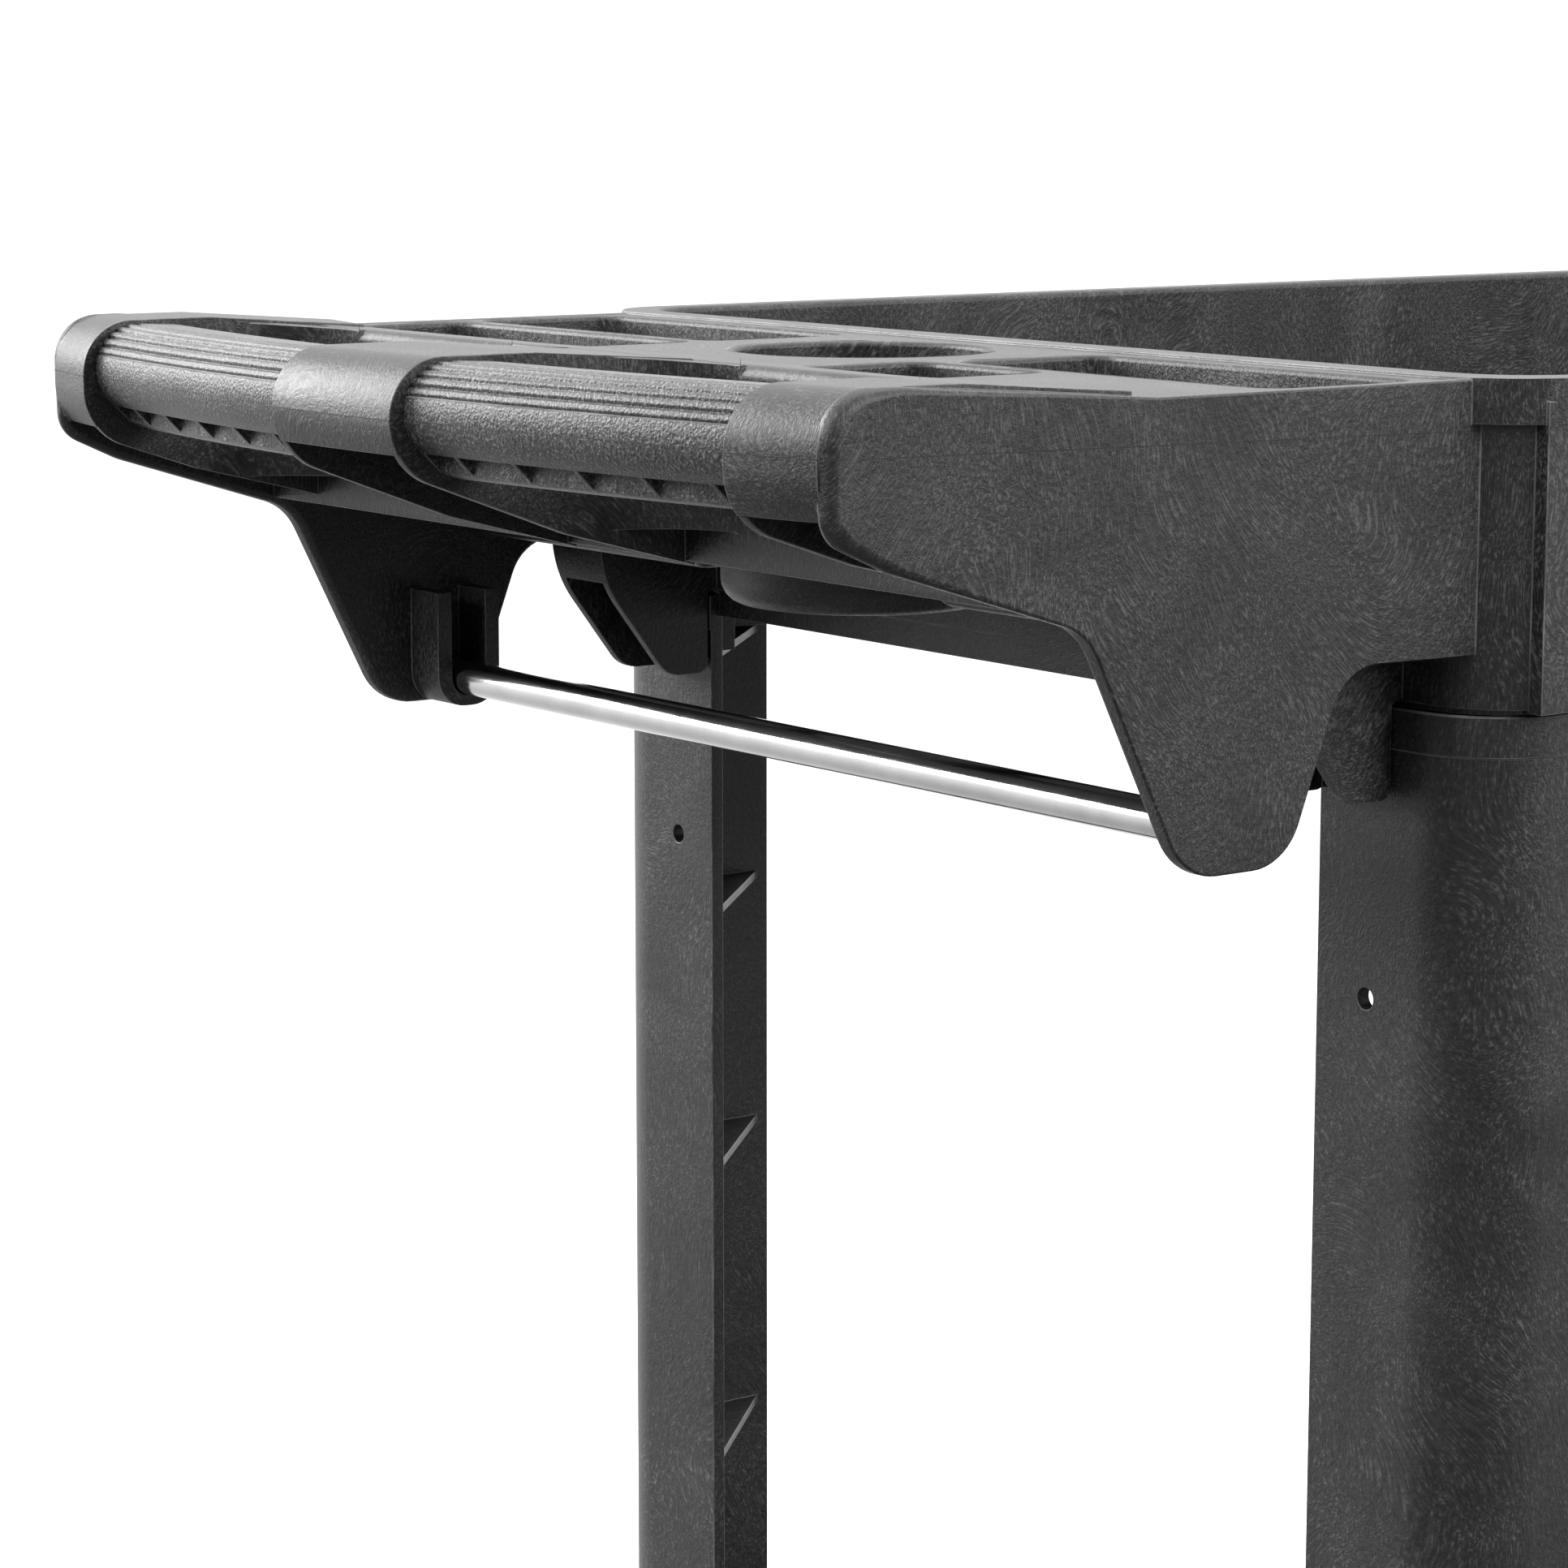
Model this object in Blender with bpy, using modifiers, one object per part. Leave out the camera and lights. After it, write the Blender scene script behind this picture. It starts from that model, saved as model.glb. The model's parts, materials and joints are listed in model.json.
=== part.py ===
"""Two-shelf utility cart in structural-foam resin, with a moulded handle tray and a hanging bar.

Metres, +Z up. The origin is on the floor under the middle of the cart. +X points away from the handle.
"""
import math

import bmesh
import bpy
from mathutils import Matrix, Vector

# Driving sizes of the whole cart
LENGTH = 1.016
WIDTH = 0.4628
RIM_Z = 0.839
NOSE_X = -LENGTH / 2
FAR_X = LENGTH / 2
SIDE_Y = WIDTH / 2
FIT = 0.0003

# Handle: places along X are given from the middle of the ears, heights from the top rim
EAR_X = NOSE_X + 0.1648
ARM_Y = 0.2139
ARM_WALL = 0.0067
ARM_EDGE = 0.0008
ARM_FRONT_EDGE = 0.0040
ARM_INNER_EDGE = 0.0025
BOW = 0.509
BLOCK_TOP = 0.0062
BLOCK_WALL = 0.0042
NOSE_RADIUS = 0.0186
SWEEP_RADIUS = 0.0200
END_SWEEP = (-0.0303, 0.0410, -0.0440)
END_CUT = -0.0287
MIDDLE_SWEEP = (-0.0258, 0.0600, -0.0479)
MIDDLE_CUT = -0.0222
MIDDLE_NEAR = 0.0370
MIDDLE_FAR = 0.0290
END_BLOCK = 0.1775
FLANGE = 0.0030
GRIP_RIBS = 5
GRIP_RIB_PITCH = 0.0270
GRIP_SET = 0.0048
GRIP_TOP = 0.0047
GRIP_MOUTH = 0.0165
SLOT_CORNER = 0.0280

# Hanging bar, in a slot with a wall on each side
BAR_X = EAR_X + 0.0057
BAR_DROP = 0.1247
BAR_RADIUS = 0.0060
BAR_HALF = 0.2040
SLOT_HALF = 0.0069
BOSS_Y = 0.1897
BOSS_HALF = 0.0127
BOSS_TOP = -0.0940
BOSS_BOTTOM = -0.1345

# Shelves
TUB_X = EAR_X + 0.0860
RIM_BAND = 0.0135
RIM_STEP = 0.0035
CORNER = 0.0300
SKIRT_DROP = 0.0973
STRIP_DROP = 0.1058
FLOOR_DROP = 0.0835
FLOOR = 0.0045
TRAY_FRONT = -0.0614
TRAY_TOP = -0.0010
TRAY_DROP = 0.0586
BASIN_DROP = 0.0756
CUP_X = 0.0335
CUP_RADIUS = 0.0410
CUP_DROP = 0.0813
TRAY_WALL = 0.0040
REAR_INNER_Y = 0.0635
REAR_OUTER_Y = 0.2045
GUSSET_IN = 0.1572
GUSSET_OUT = 0.1878

# Bottom shelf
LOW_RIM_Z = 0.2465
LOW_SKIRT_Z = 0.1565
LOW_FLOOR_Z = 0.1700

# Legs: depth is measured along X from the middle of the ears
LEG_FACE = 0.0862
LEG_SIDE = 0.2258
LEG_WALL = 0.0056
LEG_BAND = 0.0006
LEG_INNER_Y = 0.1568
LEG_DEPTH = 0.1580
LEG_TOP = RIM_Z - 0.0983
LEG_BOTTOM = LOW_RIM_Z + FIT
COLLAR = 0.0122
PLUG = 0.0207
PLUG_WALL = 0.0080

# Casters
WHEEL_RADIUS = 0.0635
PLATE_TOP = 0.1587
PLATE_THICK = 0.0040
PLATE_X = 0.0460
PLATE_Y = 0.0300
CASTER_Y = 0.1700
SWIVEL_X = -0.1860
RIGID_X = 0.4330
TRAIL = 0.0380
FORK_IN = 0.0206
FORK_OUT = 0.0236
BOLT_X = 0.0380
BOLT_Y = 0.0220

RESIN = (0.042, 0.042, 0.043)
ZINC = (0.62, 0.63, 0.64)

PARTS = "utility_cart"
HELPERS = "helpers"


def clear_scene():
    for thing in list(bpy.data.objects):
        bpy.data.objects.remove(thing, do_unlink=True)
    for name in (PARTS, HELPERS):
        group = bpy.data.collections.new(name)
        bpy.context.scene.collection.children.link(group)


def finish_of(name, colour, roughness, metallic):
    material = bpy.data.materials.new(name)
    material.use_nodes = True
    shader = material.node_tree.nodes["Principled BSDF"]
    shader.inputs["Base Color"].default_value = (*colour, 1.0)
    shader.inputs["Roughness"].default_value = roughness
    shader.inputs["Metallic"].default_value = metallic
    return material


def node(name, bm, finish, origin=(0.0, 0.0, 0.0)):
    """One named part of the cart, with its own material and its origin at the given point."""
    bmesh.ops.translate(bm, verts=bm.verts, vec=-Vector(origin))
    mesh = bpy.data.meshes.new(name)
    bm.to_mesh(mesh)
    bm.free()
    part = bpy.data.objects.new(name, mesh)
    part.location = origin
    part.data.materials.append(finish_of(name + "_finish", *finish))
    bpy.data.collections[PARTS].objects.link(part)
    return part


def helper(bm, group):
    """A shape that is only joined to a part or cut from it."""
    mesh = bpy.data.meshes.new(group.name)
    bm.to_mesh(mesh)
    bm.free()
    shape = bpy.data.objects.new(group.name, mesh)
    shape.hide_render = True
    shape.display_type = "WIRE"
    group.objects.link(shape)


def carve(part, operation, shapes):
    """Join the shapes to the part, or cut them from it, in one Boolean."""
    group = bpy.data.collections.new(part.name + "_" + operation.lower())
    bpy.data.collections[HELPERS].children.link(group)
    for bm in shapes:
        helper(bm, group)
    boolean = part.modifiers.new(operation.title(), "BOOLEAN")
    boolean.operation = operation
    boolean.operand_type = "COLLECTION"
    boolean.collection = group
    boolean.solver = "MANIFOLD"


def fillet(corners, steps=3):
    """A closed outline through corners (a, b, radius), each rounded by an arc."""
    points = []
    for index, (a, b, radius) in enumerate(corners):
        here = Vector((a, b))
        if radius == 0:
            points.append((a, b))
            continue
        before = (Vector(corners[index - 1][:2]) - here).normalized()
        after = (Vector(corners[(index + 1) % len(corners)][:2]) - here).normalized()
        half = before.angle(after) / 2
        centre = here + (before + after).normalized() * radius / math.sin(half)
        start = here + before * radius / math.tan(half) - centre
        end = here + after * radius / math.tan(half) - centre
        first = math.atan2(start.y, start.x)
        sweep = (math.atan2(end.y, end.x) - first + math.pi) % (2 * math.pi) - math.pi
        for step in range(steps + 1):
            turn = first + sweep * step / steps
            points.append((centre.x + radius * math.cos(turn), centre.y + radius * math.sin(turn)))
    return points


def solid(points, low, high, upright=False):
    """A flat outline given thickness: along Z, or along Y where it is upright in X and Z."""
    curve = bpy.data.curves.new("outline", "CURVE")
    curve.dimensions = "2D"
    curve.fill_mode = "BOTH"
    curve.extrude = (high - low) / 2
    spline = curve.splines.new("POLY")
    spline.points.add(len(points) - 1)
    spline.use_cyclic_u = True
    for point, (a, b) in zip(spline.points, points):
        point.co = (a, b, 0.0, 1.0)
    holder = bpy.data.objects.new("outline", curve)
    mesh = bpy.data.meshes.new_from_object(holder)
    bm = bmesh.new()
    bm.from_mesh(mesh)
    bpy.data.objects.remove(holder)
    bpy.data.curves.remove(curve)
    bpy.data.meshes.remove(mesh)
    bmesh.ops.remove_doubles(bm, verts=bm.verts, dist=1e-6)
    bmesh.ops.dissolve_limit(bm, angle_limit=0.001, verts=bm.verts, edges=bm.edges)
    middle = (low + high) / 2
    if upright:
        bmesh.ops.transform(bm, verts=bm.verts, matrix=Matrix.Rotation(math.pi / 2, 4, "X"))
        bmesh.ops.translate(bm, verts=bm.verts, vec=(0, middle, 0))
    else:
        bmesh.ops.translate(bm, verts=bm.verts, vec=(0, 0, middle))
    bmesh.ops.recalc_face_normals(bm, faces=bm.faces)
    for face in bm.faces:
        face.smooth = False
    return bm


def box(x, y, z, corner=0.0, steps=3):
    """A box between pairs of limits, with its upright edges rounded."""
    corners = [(x[0], y[0], corner), (x[1], y[0], corner), (x[1], y[1], corner), (x[0], y[1], corner)]
    return solid(fillet(corners, steps), *z)


def round_bottom(bm, radius, steps=2):
    """Round the edges around the lowest face."""
    low = min(vert.co.z for vert in bm.verts)
    edges = [edge for edge in bm.edges if all(abs(vert.co.z - low) < 1e-6 for vert in edge.verts)]
    bmesh.ops.bevel(bm, geom=edges, offset=radius, offset_type="OFFSET", segments=steps,
                    profile=0.5, affect="EDGES", clamp_overlap=True)
    return bm


def skin(rings):
    """A closed solid through rings that have the same number of points."""
    bm = bmesh.new()
    loops = [[bm.verts.new(point) for point in ring] for ring in rings]
    for lower, upper in zip(loops, loops[1:]):
        for index in range(len(lower)):
            bm.faces.new((lower[index - 1], lower[index], upper[index], upper[index - 1]))
    bm.faces.new(loops[0])
    bm.faces.new(loops[-1])
    bmesh.ops.recalc_face_normals(bm, faces=bm.faces)
    return bm


def loft(levels):
    """A closed solid through level outlines, each given with its height."""
    return skin([[(x, y, z) for x, y in points] for points, z in levels])


def rounded_plate(points, radii, inner, outer, inner_radius, side, steps=2):
    """An upright plate between two places along Y, with rounded edges.

    Each outline point has its own radius on the outer face; the inner face has one radius all round."""
    turn = sum(a[0] * b[1] - b[0] * a[1] for a, b in zip(points, points[1:] + points[:1]))
    inward = []
    for index in range(len(points)):
        before = Vector(points[index - 1])
        after = Vector(points[(index + 1) % len(points)])
        along = (after - before).normalized()
        inward.append(Vector((-along.y, along.x)) * math.copysign(1.0, turn))

    def ring(insets, places):
        moved = [Vector(point) + normal * inset for point, normal, inset in zip(points, inward, insets)]
        return [(place.x, side * y, place.y) for place, y in zip(moved, places)]

    count = len(points)
    rings = [ring([inner_radius] * count, [inner] * count)]
    for step in range(1, steps + 1):
        turned = math.pi / 2 * step / steps
        rings.append(ring([inner_radius * (1 - math.sin(turned))] * count,
                          [inner + inner_radius * (1 - math.cos(turned))] * count))
    for step in range(steps + 1):
        turned = math.pi / 2 * step / steps
        rings.append(ring([radius * (1 - math.cos(turned)) for radius in radii],
                          [outer - radius * (1 - math.sin(turned)) for radius in radii]))
    return skin(rings)


def pocket(outline, floor, top, foot, mouth, steps=2):
    """A cutter for a pocket: a rounded foot, an upright wall and a mouth that flares out at the top.

    outline(offset) gives the pocket's plan points, moved outwards by the offset."""
    rings = []
    for step in range(steps):
        turn = math.pi / 2 * step / steps
        rings.append((outline(-foot * (1 - math.sin(turn))), floor + foot * (1 - math.cos(turn))))
    rings.append((outline(0.0), floor + foot))
    for step in range(steps + 1):
        turn = math.pi / 2 * step / steps
        rings.append((outline(mouth * (1 - math.cos(turn))), top - mouth * (1 - math.sin(turn))))
    rings.append((outline(mouth), top + 0.02))
    return loft(rings)


def rounded_box(x, y, corner, steps=3):
    """Plan outline of a rounded rectangle, as a function of its offset."""
    def outline(offset):
        reach = corner + offset
        return fillet([(x[0] - offset, y[0] - offset, reach), (x[1] + offset, y[0] - offset, reach),
                       (x[1] + offset, y[1] + offset, reach), (x[0] - offset, y[1] + offset, reach)], steps)
    return outline


def circle(centre, radius, segments=28):
    """Plan outline of a circle, as a function of its offset."""
    def outline(offset):
        turns = [2 * math.pi * index / segments for index in range(segments)]
        return [(centre[0] + (radius + offset) * math.cos(turn), centre[1] + (radius + offset) * math.sin(turn))
                for turn in turns]
    return outline


def bowed(bm, stations=3):
    """Bend a handle piece along the bow: X grows with the square of Y."""
    low = min(vert.co.y for vert in bm.verts)
    high = max(vert.co.y for vert in bm.verts)
    for step in range(1, stations):
        cut = low + (high - low) * step / stations
        geometry = bm.verts[:] + bm.edges[:] + bm.faces[:]
        bmesh.ops.bisect_plane(bm, geom=geometry, plane_co=(0, cut, 0), plane_no=(0, 1, 0))
    for vert in bm.verts:
        vert.co.x += BOW * vert.co.y ** 2
    return bm


def cylinder(radius, low, high, centre=(0.0, 0.0), segments=24, axis="Z"):
    """A round bar between two heights, or between two places along Y."""
    bm = bmesh.new()
    bmesh.ops.create_cone(bm, cap_ends=True, segments=segments, radius1=radius, radius2=radius,
                          depth=high - low)
    if axis == "Y":
        bmesh.ops.transform(bm, verts=bm.verts, matrix=Matrix.Rotation(math.pi / 2, 4, "X"))
        bmesh.ops.translate(bm, verts=bm.verts, vec=(centre[0], (low + high) / 2, centre[1]))
    else:
        bmesh.ops.translate(bm, verts=bm.verts, vec=(*centre, (low + high) / 2))
    return bm


def lathe(name, profile, finish, origin, axis="Z", steps=24):
    """A closed profile (radius, height) turned about Z or Y through the origin."""
    bm = bmesh.new()
    verts = [bm.verts.new((radius, 0.0, height)) for radius, height in profile]
    for first, second in zip(verts, verts[1:] + verts[:1]):
        if first.co.x > 0 or second.co.x > 0:
            bm.edges.new((first, second))
    if axis == "Y":
        turn = Matrix.Rotation(-math.pi / 2, 3, "X")
    else:
        turn = Matrix.Identity(3)
    mesh = bpy.data.meshes.new(name)
    bm.to_mesh(mesh)
    bm.free()
    part = bpy.data.objects.new(name, mesh)
    part.matrix_world = Matrix.Translation(origin) @ turn.to_4x4()
    part.data.materials.append(finish_of(name + "_finish", *finish))
    bpy.data.collections[PARTS].objects.link(part)
    screw = part.modifiers.new("Turn", "SCREW")
    screw.steps = steps
    screw.render_steps = steps
    screw.use_merge_vertices = True
    screw.merge_threshold = 0.00001
    screw.use_smooth_shade = True
    return part


def at_ear(corners):
    """Corners given from the middle of the ears along X and from the rim in height, in world places."""
    return [(EAR_X + a, RIM_Z + b, radius) for a, b, radius in corners]


def at_nose(corners):
    """Corners given from the handle's front along X and from the rim in height."""
    return [(NOSE_X + a, RIM_Z + b, radius) for a, b, radius in corners]


def both_sides(near, far):
    """Y limits on the -Y side and on the +Y side."""
    return ((-far, -near), (near, far))


# Top shelf: tub

def tub_core(low, high):
    """The tub's body under its rim band."""
    return box((TUB_X + RIM_STEP, FAR_X - RIM_STEP), (-SIDE_Y + RIM_STEP, SIDE_Y - RIM_STEP), (low, high),
               CORNER - RIM_STEP, steps=5)


def tub_adds(low, rim):
    """Rim band, side panels and far-end panel of a tub."""
    panel_y = SIDE_Y - 0.0015
    side_panel = (EAR_X + 0.1038, FAR_X - 0.0422)
    return [
        box((TUB_X, FAR_X), (-SIDE_Y, SIDE_Y), (rim - RIM_BAND, rim), CORNER, steps=5),
        box(side_panel, (-panel_y, panel_y), (low, rim - RIM_BAND / 2)),
        box((0.0, FAR_X - 0.0015), (-0.1650, 0.1650), (low + 0.0002, rim - RIM_BAND / 2 - 0.0002)),
    ]


def cavity(handle_wall, floor, rim):
    plan = rounded_box((TUB_X + handle_wall, FAR_X - 0.0100), (-SIDE_Y + 0.0100, SIDE_Y - 0.0100), 0.024, 4)
    return pocket(plan, floor, rim, 0.008, 0.0025)


def underside_cells(first, low, high, columns=5, rows=3, rib=0.0035):
    """Cells between the ribs under a shelf's floor."""
    last = FAR_X - 0.0120
    half = SIDE_Y - 0.0120
    cells = []
    for column in range(columns):
        for row in range(rows):
            x = first + (last - first) * column / columns
            y = -half + 2 * half * row / rows
            cells.append(box((x + rib / 2, x + (last - first) / columns - rib / 2),
                             (y + rib / 2, y + 2 * half / rows - rib / 2), (low, high)))
    return cells


def corner_blocks(face, inner, outer, low, high, radius):
    """A block in each of the four corners, rounded on its outer edge.

    face is its depth from the bar's axis, mirrored at the far end."""
    blocks = []
    for end in (0, 1):
        for side in (-1, 1):
            near_x, deep_x = EAR_X + face, EAR_X + 0.1400
            if end:
                near_x, deep_x = TUB_X + FAR_X - near_x, TUB_X + FAR_X - deep_x
            corners = [(near_x, side * outer, radius), (deep_x, side * outer, 0),
                       (deep_x, side * inner, 0), (near_x, side * inner, 0)]
            blocks.append(solid(fillet(corners, 5), low, high))
    return blocks


# Top shelf: handle

def arm_outline():
    """Side of the handle: top edge, round front, swept underside and the ear that hangs from it."""
    front = -0.1420
    return fillet(at_ear([
        (0.1050, -0.0012, 0), (-0.0290, -0.0006, 0.060), (-0.1181, 0.0060, 0.040), (front, 0.0060, 0.0150),
        (front + 0.0010, -0.0330, 0.0110), (-0.1200, -0.0425, 0.030), (-0.0541, -0.0628, 0.020),
        (-0.0182, -0.1345, 0.0200), (0.0203, -0.1345, 0.0185), (0.0414, -0.0799, 0.0180),
        (0.1050, -0.0806, 0)]))


def arm_plate(side):
    """The arm as a plate, with a wide round on the upright edge at its front."""
    points = arm_outline()
    radii = []
    for x, _ in points:
        share = min(max((EAR_X - 0.1080 - x) / 0.0200, 0.0), 1.0)
        radii.append(ARM_EDGE + (ARM_FRONT_EDGE - ARM_EDGE) * share)
    return rounded_plate(points, radii, ARM_Y - ARM_WALL, ARM_Y, ARM_INNER_EDGE, side)


def block_shell(sweep, cut):
    """The C-shaped front of a handle block, cut off at a height, and the plate that runs back to the tray.

    sweep is the block's lower edge: its height at the front, and the knee behind it."""
    rear = 0.0016
    low, knee_x, knee_z = sweep
    slope = math.atan2(low - knee_z, knee_x)
    middle = low + SWEEP_RADIUS * math.tan((math.pi / 2 - slope) / 2)
    turn = math.asin((middle - cut) / SWEEP_RADIUS)
    corners = [(0.1064, rear, 0), (0.0480, BLOCK_TOP, 0.040), (0.0, BLOCK_TOP, NOSE_RADIUS)]
    for step in range(4):
        angle = turn * step / 3
        corners.append((SWEEP_RADIUS * (1 - math.cos(angle)), middle - SWEEP_RADIUS * math.sin(angle), 0))
    inner = SWEEP_RADIUS - BLOCK_WALL
    for angle in (turn, 0.0):
        corners.append((SWEEP_RADIUS - inner * math.cos(angle), middle - inner * math.sin(angle), 0))
    corners += [(BLOCK_WALL, BLOCK_TOP - BLOCK_WALL, NOSE_RADIUS - BLOCK_WALL),
                (0.0480, BLOCK_TOP - BLOCK_WALL, 0.030), (0.1064, rear - BLOCK_WALL, 0)]
    return fillet(at_nose(corners), steps=4)


def block_flange(sweep):
    """The upright wall at the side of a handle block, with its swept lower edge."""
    inset = 0.0004
    low, knee_x, knee_z = sweep
    return fillet(at_nose([
        (0.1064, 0.0008, 0), (0.0480, BLOCK_TOP - inset, 0.040), (inset, BLOCK_TOP - inset, NOSE_RADIUS - inset),
        (inset, low, SWEEP_RADIUS), (knee_x, knee_z, 0.030), (0.1064, -0.0600, 0)]), steps=4)


def grip_outline():
    """Section of a grip: a round front with four stepped ridges on top, cut off at a slant below."""
    reach = 0.0144
    middle_x = GRIP_SET + reach
    middle_z = GRIP_TOP - reach
    ridges = 4
    corners = []
    for step in range(6):
        turn = math.radians(227.0 - 13.5 * step)
        corners.append((middle_x + reach * math.cos(turn), middle_z + reach * math.sin(turn), 0))
    for step in range(ridges):
        turn = math.radians(152.0 - 18.0 * step)
        crest_x = middle_x + reach * math.cos(turn)
        crest_z = middle_z + reach * math.sin(turn)
        if step:
            corners.append((crest_x - 0.0002, corners[-1][1] - 0.0003, 0))
        corners.append((crest_x, crest_z, 0.0007))
    corners += [(middle_x + 0.0020, corners[-1][1] - 0.0003, 0), (middle_x + 0.0022, GRIP_TOP, 0),
                (0.0375, GRIP_TOP - 0.0010, 0.004), (0.0375, -0.0240, 0.004),
                (GRIP_MOUTH + 0.0030, -0.0290, 0), (GRIP_MOUTH, -0.0273, 0)]
    return fillet(at_nose(corners), steps=2)


def grip_limits(side):
    """Limits of a grip along Y, measured outwards from the middle of the cart."""
    return (MIDDLE_NEAR if side < 0 else MIDDLE_FAR), END_BLOCK


def grip_pockets():
    """Pockets open downwards in both grips, with a thin rib between each two."""
    pockets = []
    front = GRIP_SET + 0.0062
    outline = at_nose([(front - 0.0050, -0.0500, 0), (front, -0.0215, 0), (front + 0.0020, -0.0060, 0),
                       (GRIP_MOUTH, -0.0060, 0), (GRIP_MOUTH, -0.0500, 0)])
    outline = [(x, z) for x, z, _ in outline]
    half_rib = 0.0009
    for side in (-1, 1):
        inner, outer = grip_limits(side)
        middle = (inner + outer) / 2
        ribs = [middle + GRIP_RIB_PITCH * (index - (GRIP_RIBS - 1) / 2) for index in range(GRIP_RIBS)]
        edges = [inner] + ribs + [outer]
        for start, end in zip(edges, edges[1:]):
            ends = sorted((side * (start + half_rib), side * (end - half_rib)))
            pockets.append(bowed(solid(outline, *ends, upright=True), stations=1))
    return pockets


def slot_corners():
    """Webs that round the rear corners of the two hand slots, where the blocks meet the tray."""
    webs = []
    front = EAR_X + TRAY_FRONT
    slope = 0.0788
    steps = 7
    walls = [(-MIDDLE_NEAR, -1), (MIDDLE_FAR, 1), (-END_BLOCK, 1), (END_BLOCK, -1)]
    for wall, away in walls:
        outline = [(front + 0.0030, wall - away * 0.0015), (front - SLOT_CORNER, wall - away * 0.0015)]
        for step in range(steps + 1):
            turn = math.pi / 2 * step / steps
            outline.append((front - SLOT_CORNER * (1 - math.sin(turn)),
                            wall + away * SLOT_CORNER * (1 - math.cos(turn))))
        outline.append((front + 0.0030, wall + away * SLOT_CORNER))
        top = [(x, y, RIM_Z + 0.0013 + slope * (front - x)) for x, y in outline]
        webs.append(skin([[(x, y, RIM_Z - 0.0480) for x, y in outline], top]))
    return webs


def bar_bosses():
    """Blocks on the inner side of the ears that hold the bar's slots."""
    front = BAR_X - BOSS_HALF
    rear = BAR_X + BOSS_HALF
    outline = fillet([(front, RIM_Z + BOSS_TOP, 0), (front, RIM_Z + BOSS_BOTTOM, 0.011),
                      (rear, RIM_Z + BOSS_BOTTOM, 0.011), (rear, RIM_Z + BOSS_TOP, 0)])
    return [solid(outline, *limits, upright=True) for limits in both_sides(BOSS_Y, ARM_Y - 0.0020)]


def handle_adds():
    """Arms with their ears, blocks, grips and bar bosses, as separate shapes to join."""
    shapes = bar_bosses() + slot_corners()
    shapes += [arm_plate(side) for side in (-1, 1)]
    end_shell = block_shell(END_SWEEP, END_CUT)
    for limits in both_sides(END_BLOCK, ARM_Y - ARM_FRONT_EDGE):
        shapes.append(bowed(solid(end_shell, *limits, upright=True), stations=2))
    middle_shell = block_shell(MIDDLE_SWEEP, MIDDLE_CUT)
    shapes.append(bowed(solid(middle_shell, -MIDDLE_NEAR, MIDDLE_FAR, upright=True), stations=4))
    for side in (-1, 1):
        inner, outer = grip_limits(side)
        inner_y = sorted((side * (inner - FLANGE), side * (inner - 0.0002)))
        shapes.append(bowed(solid(block_flange(MIDDLE_SWEEP), *inner_y, upright=True), stations=1))
        outer_y = sorted((side * (outer + 0.0002), side * (outer + FLANGE)))
        shapes.append(bowed(solid(block_flange(END_SWEEP), *outer_y, upright=True), stations=1))
        grip_y = sorted((side * (inner - 0.0015), side * (outer + 0.0015)))
        shapes.append(bowed(solid(grip_outline(), *grip_y, upright=True), stations=4))
    return shapes


def tray_adds():
    """The tray between the handle and the tub, its deep rear basins and the cup's basin."""
    low = -TRAY_DROP
    tray = fillet(at_ear([(TRAY_FRONT, low, 0), (TRAY_FRONT, 0.0018, 0.004), (-0.0290, -0.0008, 0.030),
                          (0.0920, TRAY_TOP, 0), (0.0920, low, 0)]))
    shapes = [solid(tray, -ARM_Y + 0.0030, ARM_Y - 0.0030, upright=True)]
    for limits in both_sides(REAR_INNER_Y - TRAY_WALL, REAR_OUTER_Y + TRAY_WALL):
        shapes.append(round_bottom(box((EAR_X + 0.0135, EAR_X + 0.0915), limits,
                                       (RIM_Z - BASIN_DROP, RIM_Z - 0.0300), 0.006), 0.008))
    cup = cylinder(CUP_RADIUS + TRAY_WALL, RIM_Z - CUP_DROP, RIM_Z - 0.0300, (EAR_X + CUP_X, 0.0), 28)
    shapes.append(round_bottom(cup, 0.008))
    return shapes


def tray_cuts():
    """Compartments and cup holder, open at the top, with rounded mouths."""
    top = RIM_Z + TRAY_TOP
    front = (EAR_X - 0.0345, EAR_X + 0.0135)
    rear = (EAR_X + 0.0195, EAR_X + 0.0770)
    shallow = RIM_Z - TRAY_DROP + TRAY_WALL
    deep = RIM_Z - BASIN_DROP + TRAY_WALL
    corner = 0.009
    mouth = 0.0018
    cuts = [pocket(rounded_box(front, (REAR_INNER_Y, REAR_OUTER_Y), corner), shallow, top, 0.004, mouth),
            pocket(rounded_box(front, (-0.1155, -0.0550), corner), shallow, top, 0.004, mouth)]
    for limits in both_sides(REAR_INNER_Y, REAR_OUTER_Y):
        cuts.append(pocket(rounded_box(rear, limits, corner), deep, top, 0.006, mouth))
    cuts.append(pocket(circle((EAR_X + CUP_X, 0.0), CUP_RADIUS), RIM_Z - CUP_DROP + TRAY_WALL, top, 0.006, mouth))
    return cuts


def gussets():
    """Brackets under the tray, in front of each handle-end leg."""
    outline = fillet(at_ear([(0.0375, -0.0500, 0), (0.0405, -0.0900, 0.040), (0.0680, -0.1257, 0.012),
                             (0.0855, -0.1257, 0.004), (0.0855, -0.0972, 0), (0.0930, -0.0940, 0),
                             (0.0930, -0.0500, 0)]))
    return [solid(outline, *limits, upright=True) for limits in both_sides(GUSSET_IN, GUSSET_OUT)]


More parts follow.
